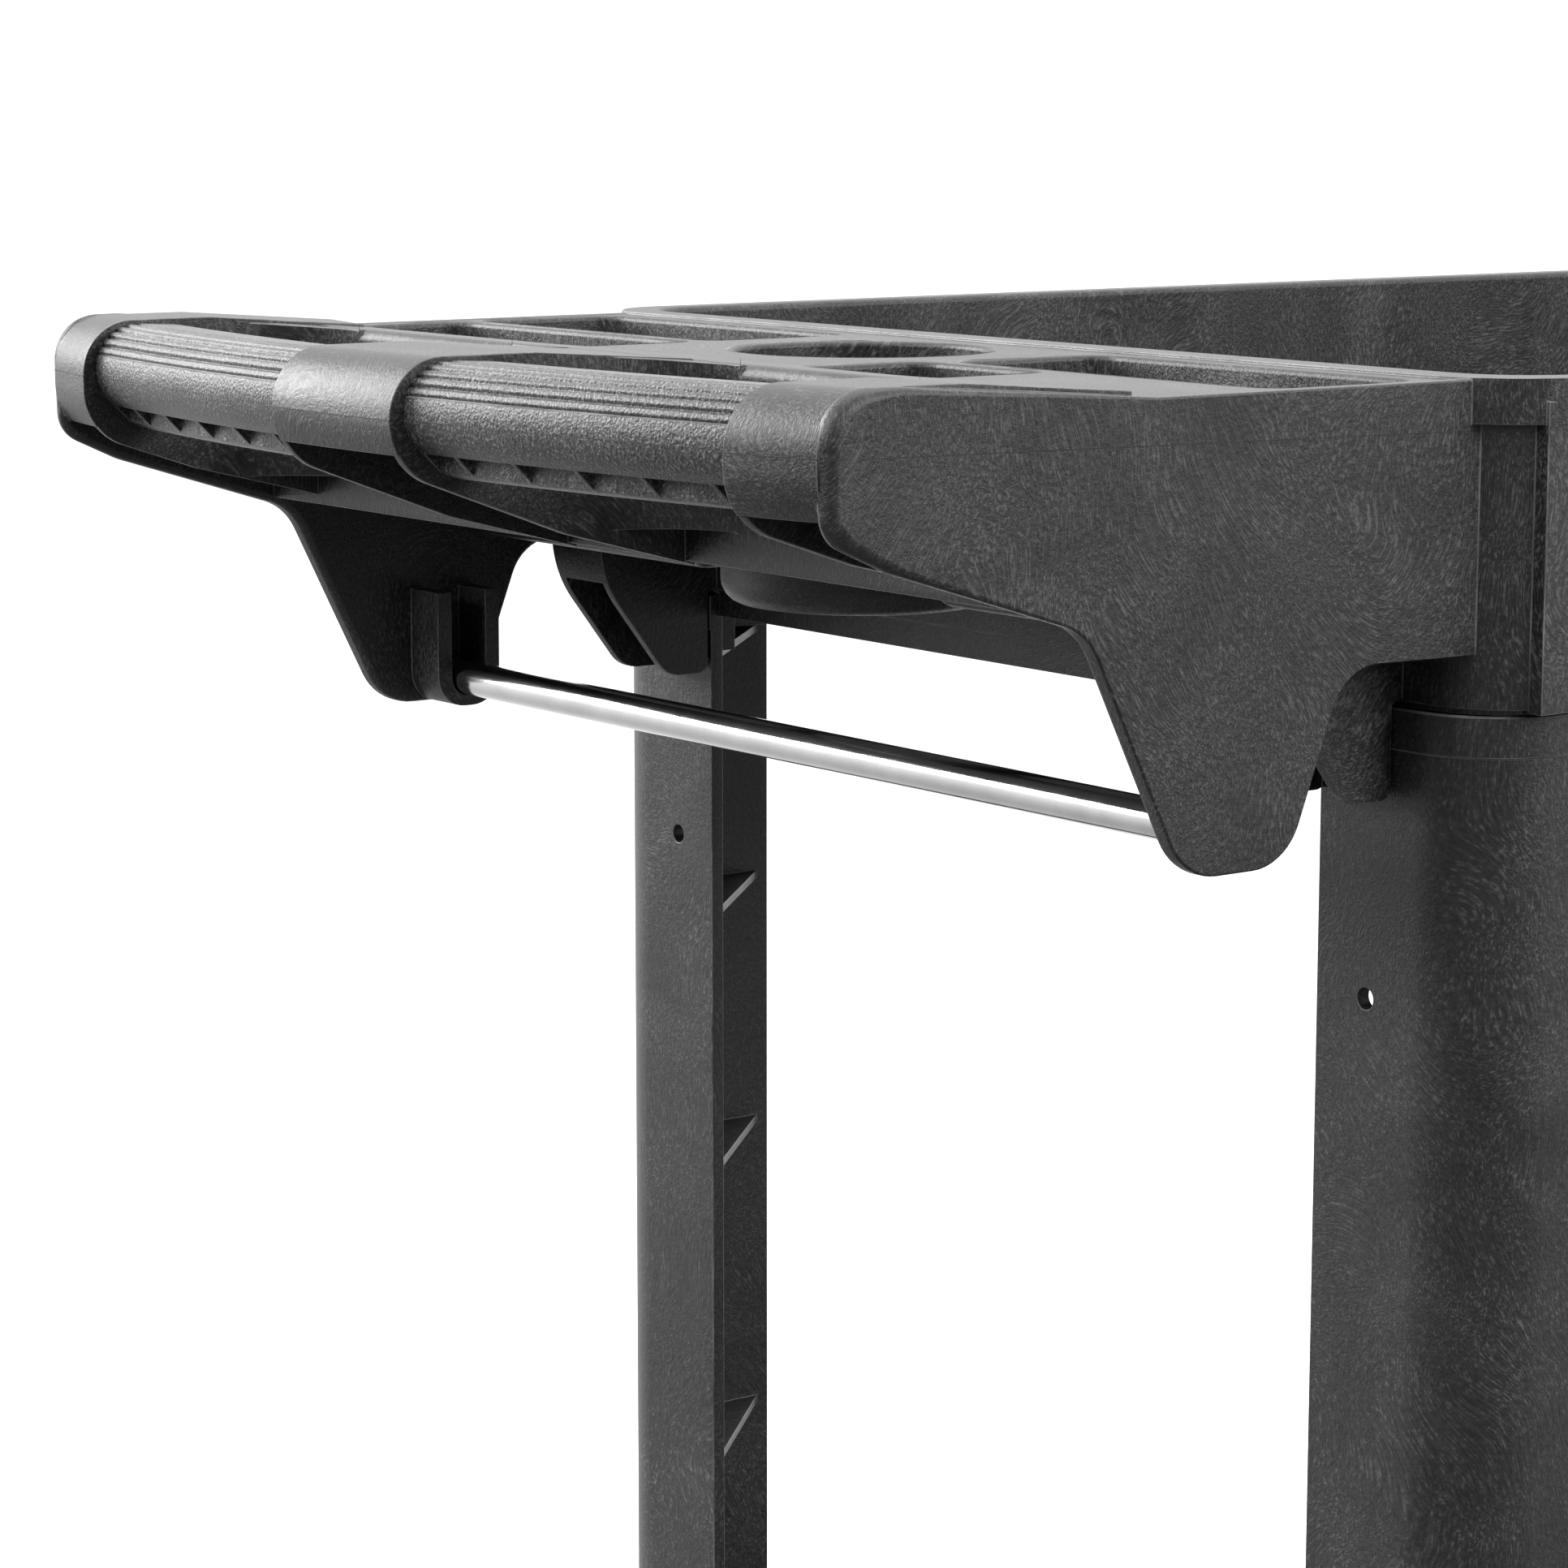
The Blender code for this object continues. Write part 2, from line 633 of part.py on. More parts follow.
def gusset_pockets():
    """The room between a gusset's two plates, open below and behind its front wall."""
    plate = 0.0036
    pockets = []
    for limits in both_sides(GUSSET_IN + plate, GUSSET_OUT - plate):
        pockets.append(box((EAR_X + 0.0430, EAR_X + 0.0836), limits, (RIM_Z - 0.1400, RIM_Z - 0.0800)))
        pockets.append(box((EAR_X + 0.0300, EAR_X + 0.0440), limits, (RIM_Z - 0.1400, RIM_Z - 0.0945)))
    return pockets


def bar_slots():
    """U-shaped slots in the bosses, open upwards and towards the middle."""
    middle = RIM_Z - BAR_DROP + SLOT_HALF - BAR_RADIUS - FIT
    mouth = RIM_Z + BOSS_TOP + 0.01
    outline = fillet([(BAR_X - SLOT_HALF, mouth, 0), (BAR_X - SLOT_HALF, middle - SLOT_HALF, SLOT_HALF * 0.999),
                      (BAR_X + SLOT_HALF, middle - SLOT_HALF, SLOT_HALF * 0.999), (BAR_X + SLOT_HALF, mouth, 0)],
                     steps=6)
    return [solid(outline, *limits, upright=True) for limits in both_sides(BOSS_Y - 0.01, ARM_Y - ARM_WALL - FIT)]


def top_shelf():
    low = RIM_Z - SKIRT_DROP
    floor = RIM_Z - FLOOR_DROP
    shelf = node("top_shelf", tub_core(low + 0.0010, RIM_Z - 0.0020), (RESIN, 0.55, 0.0))
    neck = corner_blocks(0.0900, 0.1600, LEG_SIDE - 0.0008, LEG_TOP + FIT, low + 0.01, 0.0255)
    plugs = leg_plugs(LEG_TOP - PLUG, low + 0.008)
    end_strip = box((TUB_X + 0.0040, TUB_X + 0.0090), (-LEG_INNER_Y, LEG_INNER_Y),
                    (RIM_Z - STRIP_DROP, low + 0.01))
    carve(shelf, "UNION", tub_adds(low, RIM_Z) + neck + plugs + [end_strip] + handle_adds() + tray_adds() + gussets())
    carve(shelf, "DIFFERENCE", [cavity(0.0140, floor, RIM_Z)] + tray_cuts() + bar_slots() + grip_pockets()
          + gusset_pockets() + underside_cells(TUB_X + 0.0150, low - 0.001, floor - FLOOR))


def bottom_shelf():
    floor = LOW_FLOOR_Z
    shelf = node("bottom_shelf", tub_core(LOW_SKIRT_Z + 0.0010, LOW_RIM_Z - 0.0020), (RESIN, 0.55, 0.0))
    carve(shelf, "UNION", tub_adds(LOW_SKIRT_Z, LOW_RIM_Z))
    room = 0.0080
    reliefs = [box((x - PLATE_X - room, x + PLATE_X + room), (y - PLATE_Y - room, y + PLATE_Y + room),
                   (LOW_SKIRT_Z - 0.001, floor - FLOOR - 0.0001), 0.006, 2) for x, y in caster_places()]
    carve(shelf, "DIFFERENCE", [cavity(0.0100, floor, LOW_RIM_Z)] + reliefs
          + underside_cells(TUB_X + 0.0120, LOW_SKIRT_Z - 0.001, floor - FLOOR))
    posts = corner_blocks(0.0905, 0.1570, LEG_SIDE - 0.0015, floor - 0.001, LOW_RIM_Z - FIT, 0.0250)
    plugs = leg_plugs(LOW_RIM_Z - 0.002, LEG_BOTTOM + PLUG)
    pads = []
    bolt_holes = []
    for x, y in caster_places():
        pads.append(box((x - PLATE_X - 0.004, x + PLATE_X + 0.004), (y - PLATE_Y - 0.004, y + PLATE_Y + 0.004),
                        (PLATE_TOP + FIT, floor - 0.001), 0.004, 2))
        for bolt_x, bolt_y in bolt_places(x, y):
            bolt_holes.append(cylinder(0.0042, PLATE_TOP - 0.001, floor - 0.0015, (bolt_x, bolt_y), 8))
    carve(shelf, "UNION", posts + plugs + pads)
    carve(shelf, "DIFFERENCE", bolt_holes)


# Legs

def leg_section(face, wall=LEG_WALL, inner_y=LEG_INNER_Y, depth=LEG_DEPTH):
    """L-section in plan, as depth from the middle of the ears and distance from the middle of the cart."""
    side = LEG_SIDE - (face - LEG_FACE)
    inner = face + wall
    inner_side = side - wall
    corner = CORNER - 0.001 - (face - LEG_FACE)
    return fillet([(face, inner_y, 0), (face, side, corner), (depth, side, 0), (depth, inner_side, 0),
                   (inner, inner_side, corner - wall), (inner, inner_y, 0)], steps=4)


def placed(points, end, side):
    """Plan points of the near handle-end corner, moved to another corner of the cart."""
    moved = []
    for depth, across in points:
        x = EAR_X + depth
        if end:
            x = TUB_X + FAR_X - x
        moved.append((x, side * across))
    return moved


def leg_plugs(low, high):
    """The tongues of a shelf that stand inside the four legs."""
    section = leg_section(LEG_FACE + LEG_WALL + FIT, PLUG_WALL, LEG_INNER_Y + 0.004, LEG_DEPTH - 0.004)
    return [solid(placed(section, end, side), low, high) for end in (0, 1) for side in (-1, 1)]


def leg(name, end, side):
    body = leg_section(LEG_FACE + LEG_BAND, LEG_WALL - LEG_BAND)
    collar = leg_section(LEG_FACE)
    part = node(name, solid(placed(body, end, side), LEG_BOTTOM, LEG_TOP), (RESIN, 0.55, 0.0))
    inner = LEG_FACE + LEG_WALL - 0.001
    inner_side = LEG_SIDE - LEG_WALL + 0.001
    web = [(inner, LEG_INNER_Y + 0.004), (inner, inner_side - 0.010), (inner + 0.010, inner_side),
           (LEG_DEPTH - 0.004, inner_side)]
    drops = [0.1200, 0.2142, 0.3093, 0.4207, 0.5180]
    heights = [RIM_Z - drop - 0.0030 for drop in drops] + [LEG_BOTTOM + PLUG + FIT]
    shapes = [solid(placed(web, end, side), height, height + 0.0030) for height in heights]
    shapes.append(solid(placed(collar, end, side), LEG_TOP - COLLAR, LEG_TOP - 0.0001))
    shapes.append(solid(placed(collar, end, side), LEG_BOTTOM + 0.0001, LEG_BOTTOM + COLLAR))
    (hole_x, hole_y), (slot_x, slot_y) = placed([(LEG_FACE, 0.1777), (0.1276, LEG_SIDE)], end, side)
    hole = cylinder(0.0033, -0.012, 0.012, segments=12)
    bmesh.ops.transform(hole, verts=hole.verts, matrix=Matrix.Translation((hole_x, hole_y, RIM_Z - 0.1871))
                        @ Matrix.Rotation(math.pi / 2, 4, "Y"))
    slot = solid(fillet([(slot_x - 0.0014, RIM_Z - 0.1342, 0.0013), (slot_x + 0.0014, RIM_Z - 0.1342, 0.0013),
                         (slot_x + 0.0014, RIM_Z - 0.1229, 0.0013), (slot_x - 0.0014, RIM_Z - 0.1229, 0.0013)],
                        2), *sorted((slot_y - side * 0.012, slot_y + side * 0.005)), upright=True)
    carve(part, "UNION", shapes)
    carve(part, "DIFFERENCE", [hole, slot])


def hanging_bar():
    chamfer = 0.0008
    profile = [(0.0, BAR_HALF), (BAR_RADIUS - chamfer, BAR_HALF), (BAR_RADIUS, BAR_HALF - chamfer),
               (BAR_RADIUS, -BAR_HALF + chamfer), (BAR_RADIUS - chamfer, -BAR_HALF), (0.0, -BAR_HALF)]
    lathe("hanging_bar", profile, (ZINC, 0.08, 1.0), (BAR_X, 0.0, RIM_Z - BAR_DROP), "Y", 20)


# Casters

def caster_places():
    return [(SWIVEL_X, -CASTER_Y), (SWIVEL_X, CASTER_Y), (RIGID_X, -CASTER_Y), (RIGID_X, CASTER_Y)]


def bolt_places(x, y):
    return [(x + a * BOLT_X, y + b * BOLT_Y) for a in (-1, 1) for b in (-1, 1)]


def mount_plate_shape(x, y):
    return box((x - PLATE_X, x + PLATE_X), (y - PLATE_Y, y + PLATE_Y),
               (PLATE_TOP - PLATE_THICK, PLATE_TOP), 0.006, 2)


def plate_holes(x, y):
    return [cylinder(0.0041, PLATE_TOP - 0.02, PLATE_TOP + 0.01, place, 8) for place in bolt_places(x, y)]


def bolts(prefix, x, y):
    for index, place in enumerate(bolt_places(x, y)):
        under = PLATE_TOP - PLATE_THICK - FIT
        part = node(prefix + "_bolt_" + str(index + 1), cylinder(0.0066, under - 0.0048, under, place, 6),
                    (ZINC, 0.35, 1.0), origin=(*place, under))
        carve(part, "UNION", [cylinder(0.0035, under - 0.001, PLATE_TOP + 0.0080, place, 8)])


def wheel(prefix, x, y):
    """Tread, hub, axle bolt, nut and the two spacers, all turned about the axle."""
    centre = (x, y, WHEEL_RADIUS)
    tread = [(0.0505, 0.0140), (0.0585, 0.0160), (0.0622, 0.0120), (WHEEL_RADIUS, 0.0000),
             (0.0622, -0.0120), (0.0585, -0.0160), (0.0505, -0.0140)]
    hub = [(0.0054, 0.0185), (0.0130, 0.0185), (0.0150, 0.0060), (0.0430, 0.0060), (0.0455, 0.0138),
           (0.0498, 0.0138), (0.0498, -0.0138), (0.0455, -0.0138), (0.0430, -0.0060), (0.0150, -0.0060),
           (0.0130, -0.0185), (0.0054, -0.0185)]
    lathe(prefix + "_tread", tread, ((0.10, 0.10, 0.105), 0.7, 0.0), centre, "Y", 20)
    lathe(prefix + "_hub", hub, ((0.05, 0.05, 0.052), 0.5, 0.0), centre, "Y", 14)
    head = FORK_OUT + FIT
    axle = [(0.0, head + 0.0055), (0.0075, head + 0.0055), (0.0080, head + 0.0045), (0.0080, head),
            (0.0047, head), (0.0047, -head - 0.0070), (0.0, -head - 0.0070)]
    lathe(prefix + "_axle_bolt", axle, (ZINC, 0.3, 1.0), centre, "Y", 10)
    nut = node(prefix + "_axle_nut", cylinder(0.0082, y - head - 0.0060, y - head, (x, WHEEL_RADIUS), 6, "Y"),
               (ZINC, 0.3, 1.0), origin=centre)
    carve(nut, "DIFFERENCE", [cylinder(0.0051, y - 0.04, y, (x, WHEEL_RADIUS), 12, "Y")])
    for name, side in (("_spacer_outer", 1), ("_spacer_inner", -1)):
        low, high = sorted((side * 0.0188, side * 0.0203))
        ring = [(0.0052, high), (0.0095, high), (0.0095, low), (0.0052, low)]
        lathe(prefix + name, ring, (ZINC, 0.4, 1.0), centre, "Y", 12)


def yoke_outline(top, reach):
    """Side of a fork: a wide crown that narrows to a round end at the axle, reach behind the crown."""
    end = 0.0145
    return fillet([(-0.0300, top, 0), (0.0300, top, 0), (0.0300, top - 0.0080, 0.010),
                   (-reach + end, WHEEL_RADIUS, 0.030), (-reach + end, WHEEL_RADIUS - end, end * 0.98),
                   (-reach - end, WHEEL_RADIUS - end, end * 0.98), (-reach - end, WHEEL_RADIUS, 0.030),
                   (-0.0300, top - 0.0120, 0.010)], steps=3)


def fork_shape(x, y, top, reach):
    outline = [(x + a, z) for a, z in yoke_outline(top, reach)]
    return solid(outline, y - FORK_OUT, y + FORK_OUT, upright=True)


def axle_hole(x, y):
    return cylinder(0.0051, y - 0.04, y + 0.04, (x, WHEEL_RADIUS), 12, "Y")


def swivel_caster(prefix, x, y):
    crown_top = 0.1430
    crown_low = 0.1386
    plate = node(prefix + "_mount_plate", mount_plate_shape(x, y), (ZINC, 0.4, 1.0))
    carve(plate, "DIFFERENCE", plate_holes(x, y) + [cylinder(0.0064, 0.15, 0.17, (x, y), 16)])
    race = [(0.0075, PLATE_TOP - PLATE_THICK - FIT), (0.0270, PLATE_TOP - PLATE_THICK - FIT),
            (0.0305, 0.1500), (0.0305, 0.1455), (0.0270, crown_top + FIT), (0.0075, crown_top + FIT)]
    lathe(prefix + "_bearing_race", race, (ZINC, 0.35, 1.0), (x, y, 0.0), "Z", 18)
    kingpin = [(0.0, PLATE_TOP - 0.0005), (0.0060, PLATE_TOP - 0.0005), (0.0060, crown_low - FIT),
               (0.0095, crown_low - FIT), (0.0095, crown_low - 0.0030), (0.0070, crown_low - 0.0045),
               (0.0, crown_low - 0.0045)]
    lathe(prefix + "_kingpin", kingpin, (ZINC, 0.3, 1.0), (x, y, 0.0), "Z", 12)
    fork = node(prefix + "_fork", fork_shape(x, y, crown_top, TRAIL), (ZINC, 0.4, 1.0), origin=(x, y, 0.0))
    cuts = [box((x - 0.08, x + 0.05), (y - FORK_IN, y + FORK_IN), (0.02, crown_low)),
            cylinder(0.0063, 0.12, 0.16, (x, y), 16), axle_hole(x - TRAIL, y)]
    carve(fork, "DIFFERENCE", cuts)
    wheel(prefix, x - TRAIL, y)
    bolts(prefix, x, y)


def rigid_caster(prefix, x, y):
    under = PLATE_TOP - PLATE_THICK
    bracket = node(prefix + "_bracket", mount_plate_shape(x, y), (ZINC, 0.4, 1.0))
    carve(bracket, "UNION", [fork_shape(x, y, under + 0.001, 0.0)])
    carve(bracket, "DIFFERENCE", plate_holes(x, y) + [axle_hole(x, y),
          box((x - 0.05, x + 0.05), (y - FORK_IN, y + FORK_IN), (0.02, under))])
    wheel(prefix, x, y)
    bolts(prefix, x, y)


def build():
    clear_scene()
    top_shelf()
    bottom_shelf()
    for end, end_name in ((0, "handle"), (1, "far")):
        for side, side_name in ((-1, "near"), (1, "far")):
            leg("leg_" + end_name + "_end_" + side_name + "_side", end, side)
    hanging_bar()
    for side, side_name in ((-1, "near"), (1, "far")):
        swivel_caster("swivel_caster_" + side_name, SWIVEL_X, side * CASTER_Y)
        rigid_caster("rigid_caster_" + side_name, RIGID_X, side * CASTER_Y)


build()
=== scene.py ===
"""Looks of a two-shelf utility cart in black structural-foam resin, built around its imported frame."""

import math

import bmesh
import bpy
from mathutils import Matrix, Vector
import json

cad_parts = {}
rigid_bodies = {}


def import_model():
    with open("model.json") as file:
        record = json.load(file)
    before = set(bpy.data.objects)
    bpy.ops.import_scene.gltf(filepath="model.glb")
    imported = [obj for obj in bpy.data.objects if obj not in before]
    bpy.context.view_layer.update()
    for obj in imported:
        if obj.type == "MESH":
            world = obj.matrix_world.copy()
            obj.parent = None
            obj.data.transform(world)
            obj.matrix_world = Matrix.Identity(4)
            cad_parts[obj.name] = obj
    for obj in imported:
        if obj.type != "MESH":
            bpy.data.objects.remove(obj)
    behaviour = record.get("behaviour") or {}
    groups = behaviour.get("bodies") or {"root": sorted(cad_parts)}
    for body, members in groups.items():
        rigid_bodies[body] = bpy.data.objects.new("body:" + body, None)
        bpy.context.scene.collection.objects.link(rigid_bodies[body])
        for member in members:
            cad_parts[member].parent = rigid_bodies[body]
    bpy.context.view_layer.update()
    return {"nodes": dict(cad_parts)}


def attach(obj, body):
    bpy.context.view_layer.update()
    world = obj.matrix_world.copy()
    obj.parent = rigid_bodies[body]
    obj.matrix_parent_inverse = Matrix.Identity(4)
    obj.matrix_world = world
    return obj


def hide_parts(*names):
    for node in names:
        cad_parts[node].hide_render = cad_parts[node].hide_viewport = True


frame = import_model()

# How many times finer the curves are cut here than in the CAD solids
FINE = 3

# Driving sizes of the whole cart
LENGTH = 1.016
WIDTH = 0.4628
RIM_Z = 0.839
NOSE_X = -LENGTH / 2
FAR_X = LENGTH / 2
SIDE_Y = WIDTH / 2
FIT = 0.0003

# Handle: places along X are given from the middle of the ears, heights from the top rim
EAR_X = NOSE_X + 0.1648
ARM_Y = 0.2139
ARM_WALL = 0.0067
ARM_EDGE = 0.0008
ARM_FRONT_EDGE = 0.0040
ARM_INNER_EDGE = 0.0025
BOW = 0.509
BLOCK_TOP = 0.0058
BLOCK_WALL = 0.0042
NOSE_RADIUS = 0.0176
SWEEP_RADIUS = 0.0200
END_SWEEP = (-0.0303, 0.0410, -0.0440)
END_CUT = -0.0287
MIDDLE_SWEEP = (-0.0258, 0.0600, -0.0479)
MIDDLE_CUT = -0.0222
MIDDLE_NEAR = 0.0370
MIDDLE_FAR = 0.0290
END_BLOCK = 0.1775
FLANGE = 0.0030
GRIP_RIBS = 5
GRIP_RIB_PITCH = 0.0270
GRIP_SET = 0.0048
GRIP_TOP = 0.0047
GRIP_MOUTH = 0.0165
SLOT_CORNER = 0.0280

# Hanging bar, in a slot with a wall on each side
BAR_X = EAR_X + 0.0057
BAR_DROP = 0.1247
BAR_RADIUS = 0.0060
SLOT_HALF = 0.0069
BOSS_Y = 0.1897
BOSS_HALF = 0.0127
BOSS_TOP = -0.0940
BOSS_BOTTOM = -0.1345

# Shelves
TUB_X = EAR_X + 0.0860
RIM_BAND = 0.0135
RIM_STEP = 0.0035
CORNER = 0.0300
SKIRT_DROP = 0.0973
STRIP_DROP = 0.1058
FLOOR_DROP = 0.0835
FLOOR = 0.0045
TRAY_FRONT = -0.0614
TRAY_TOP = -0.0010
TRAY_DROP = 0.0586
BASIN_DROP = 0.0756
CUP_X = 0.0335
CUP_RADIUS = 0.0410
CUP_DROP = 0.0813
TRAY_WALL = 0.0040
REAR_INNER_Y = 0.0635
REAR_OUTER_Y = 0.2045
GUSSET_IN = 0.1572
GUSSET_OUT = 0.1878

# Bottom shelf
LOW_RIM_Z = 0.2465

# Legs: depth is measured along X from the middle of the ears
LEG_FACE = 0.0862
LEG_SIDE = 0.2258
LEG_WALL = 0.0056
LEG_BAND = 0.0006
LEG_INNER_Y = 0.1568
LEG_DEPTH = 0.1580
LEG_TOP = RIM_Z - 0.0983
LEG_BOTTOM = LOW_RIM_Z + FIT
COLLAR = 0.0122
PLUG = 0.0207
PLUG_WALL = 0.0080

# Casters
WHEEL_RADIUS = 0.0635
CASTER_Y = 0.1700
SWIVEL_X = -0.1860
RIGID_X = 0.4330
TRAIL = 0.0380

# Widths of the rounds on the edges: shelf and grips, legs, wheels, bottom shelf, steel and hubs
SHELF_ROUND = 0.00030
LEG_ROUND = 0.00035
WHEEL_ROUND = 0.00040
LOW_SHELF_ROUND = 0.00045
STEEL_ROUND = 0.00030

# Material slots that the rounds take: their own, which carries the painted edge highlight, or that of the
# faces beside them
OWN_EDGE = 1
SAME_AS_FACES = -1

# The grips' ridges are already round, so only edges sharper than this many degrees are rounded there
RIDGED_ANGLE = 75.0

CART = "cart"


# Shapes: the same outlines as the solids, with finer curves

def fillet(corners, steps=3):
    """A closed outline through corners (a, b, radius), each rounded by an arc."""
    points = []
    steps *= FINE
    for index, (a, b, radius) in enumerate(corners):
        here = Vector((a, b))
        if radius == 0:
            points.append((a, b))
            continue
        before = (Vector(corners[index - 1][:2]) - here).normalized()
        after = (Vector(corners[(index + 1) % len(corners)][:2]) - here).normalized()
        half = before.angle(after) / 2
        centre = here + (before + after).normalized() * radius / math.sin(half)
        start = here + before * radius / math.tan(half) - centre
        end = here + after * radius / math.tan(half) - centre
        first = math.atan2(start.y, start.x)
        sweep = (math.atan2(end.y, end.x) - first + math.pi) % (2 * math.pi) - math.pi
        for step in range(steps + 1):
            turn = first + sweep * step / steps
            points.append((centre.x + radius * math.cos(turn), centre.y + radius * math.sin(turn)))
    return points


def solid(points, low, high, upright=False):
    """A flat outline given thickness: along Z, or along Y where it is upright in X and Z."""
    curve = bpy.data.curves.new("outline", "CURVE")
    curve.dimensions = "2D"
    curve.fill_mode = "BOTH"
    curve.extrude = (high - low) / 2
    spline = curve.splines.new("POLY")
    spline.points.add(len(points) - 1)
    spline.use_cyclic_u = True
    for point, (a, b) in zip(spline.points, points):
        point.co = (a, b, 0.0, 1.0)
    holder = bpy.data.objects.new("outline", curve)
    mesh = bpy.data.meshes.new_from_object(holder)
    bm = bmesh.new()
    bm.from_mesh(mesh)
    bpy.data.objects.remove(holder)
    bpy.data.curves.remove(curve)
    bpy.data.meshes.remove(mesh)
    bmesh.ops.remove_doubles(bm, verts=bm.verts, dist=1e-6)
    bmesh.ops.dissolve_limit(bm, angle_limit=0.001, verts=bm.verts, edges=bm.edges)
    middle = (low + high) / 2
    if upright:
        bmesh.ops.transform(bm, verts=bm.verts, matrix=Matrix.Rotation(math.pi / 2, 4, "X"))
        bmesh.ops.translate(bm, verts=bm.verts, vec=(0, middle, 0))
    else:
        bmesh.ops.translate(bm, verts=bm.verts, vec=(0, 0, middle))
    bmesh.ops.recalc_face_normals(bm, faces=bm.faces)
    for face in bm.faces:
        face.smooth = False
    return bm


def box(x, y, z, corner=0.0, steps=3):
    """A box between pairs of limits, with its upright edges rounded."""
    corners = [(x[0], y[0], corner), (x[1], y[0], corner), (x[1], y[1], corner), (x[0], y[1], corner)]
    return solid(fillet(corners, steps), *z)


def round_bottom(bm, radius, steps=5):
    """Round the edges around the lowest face."""
    low = min(vert.co.z for vert in bm.verts)
    edges = [edge for edge in bm.edges if all(abs(vert.co.z - low) < 1e-6 for vert in edge.verts)]
    bmesh.ops.bevel(bm, geom=edges, offset=radius, offset_type="OFFSET", segments=steps,
                    profile=0.5, affect="EDGES", clamp_overlap=True)
    return bm


def skin(rings):
    """A closed solid through rings that have the same number of points."""
    bm = bmesh.new()
    loops = [[bm.verts.new(point) for point in ring] for ring in rings]
    for lower, upper in zip(loops, loops[1:]):
        for index in range(len(lower)):
            bm.faces.new((lower[index - 1], lower[index], upper[index], upper[index - 1]))
    bm.faces.new(loops[0])
    bm.faces.new(loops[-1])
    bmesh.ops.recalc_face_normals(bm, faces=bm.faces)
    return bm


def loft(levels):
    """A closed solid through level outlines, each given with its height."""
    return skin([[(x, y, z) for x, y in points] for points, z in levels])


def rounded_plate(points, radii, inner, outer, inner_radius, side, steps=4):
    """An upright plate between two places along Y, with rounded edges.

    Each outline point has its own radius on the outer face; the inner face has one radius all round."""
    turn = sum(a[0] * b[1] - b[0] * a[1] for a, b in zip(points, points[1:] + points[:1]))
    inward = []
    for index in range(len(points)):
        before = Vector(points[index - 1])
        after = Vector(points[(index + 1) % len(points)])
        along = (after - before).normalized()
        inward.append(Vector((-along.y, along.x)) * math.copysign(1.0, turn))

    def ring(insets, places):
        moved = [Vector(point) + normal * inset for point, normal, inset in zip(points, inward, insets)]
        return [(place.x, side * y, place.y) for place, y in zip(moved, places)]

    count = len(points)
    rings = [ring([inner_radius] * count, [inner] * count)]
    for step in range(1, steps + 1):
        turned = math.pi / 2 * step / steps
        rings.append(ring([inner_radius * (1 - math.sin(turned))] * count,
                          [inner + inner_radius * (1 - math.cos(turned))] * count))
    for step in range(steps + 1):
        turned = math.pi / 2 * step / steps
        rings.append(ring([radius * (1 - math.cos(turned)) for radius in radii],
                          [outer - radius * (1 - math.sin(turned)) for radius in radii]))
    return skin(rings)


def pocket(outline, floor, top, foot, mouth, steps=5):
    """A cutter for a pocket: a rounded foot, an upright wall and a mouth that flares out at the top.

    outline(offset) gives the pocket's plan points, moved outwards by the offset."""
    rings = []
    for step in range(steps):
        turn = math.pi / 2 * step / steps
        rings.append((outline(-foot * (1 - math.sin(turn))), floor + foot * (1 - math.cos(turn))))
    rings.append((outline(0.0), floor + foot))
    for step in range(steps + 1):
        turn = math.pi / 2 * step / steps
        rings.append((outline(mouth * (1 - math.cos(turn))), top - mouth * (1 - math.sin(turn))))
    rings.append((outline(mouth), top + 0.02))
    return loft(rings)


def rounded_box(x, y, corner, steps=3):
    """Plan outline of a rounded rectangle, as a function of its offset."""
    def outline(offset):
        reach = corner + offset
        return fillet([(x[0] - offset, y[0] - offset, reach), (x[1] + offset, y[0] - offset, reach),
                       (x[1] + offset, y[1] + offset, reach), (x[0] - offset, y[1] + offset, reach)], steps)
    return outline


def circle(centre, radius, segments=28 * FINE):
    """Plan outline of a circle, as a function of its offset."""
    def outline(offset):
        turns = [2 * math.pi * index / segments for index in range(segments)]
        return [(centre[0] + (radius + offset) * math.cos(turn),
                 centre[1] + (radius + offset) * math.sin(turn)) for turn in turns]
    return outline


def bowed(bm, stations):
    """Bend a handle piece along the bow: X grows with the square of Y. stations sets how finely."""
    low = min(vert.co.y for vert in bm.verts)
    high = max(vert.co.y for vert in bm.verts)
    stations *= FINE
    for step in range(1, stations):
        cut = low + (high - low) * step / stations
        geometry = bm.verts[:] + bm.edges[:] + bm.faces[:]
        bmesh.ops.bisect_plane(bm, geom=geometry, plane_co=(0, cut, 0), plane_no=(0, 1, 0))
    for vert in bm.verts:
        vert.co.x += BOW * vert.co.y ** 2
    return bm


def cylinder(radius, low, high, centre=(0.0, 0.0), segments=24 * FINE):
    """A round bar between two heights."""
    bm = bmesh.new()
    bmesh.ops.create_cone(bm, cap_ends=True, segments=segments, radius1=radius, radius2=radius,
                          depth=high - low)
    bmesh.ops.translate(bm, verts=bm.verts, vec=(*centre, (low + high) / 2))
    return bm


def at_ear(corners):
    """Corners given from the middle of the ears along X and from the rim in height, in world places."""
    return [(EAR_X + a, RIM_Z + b, radius) for a, b, radius in corners]


def at_nose(corners):
    """Corners given from the handle's front along X and from the rim in height."""
    return [(NOSE_X + a, RIM_Z + b, radius) for a, b, radius in corners]


def both_sides(near, far):
    """Y limits on the -Y side and on the +Y side."""
    return ((-far, -near), (near, far))


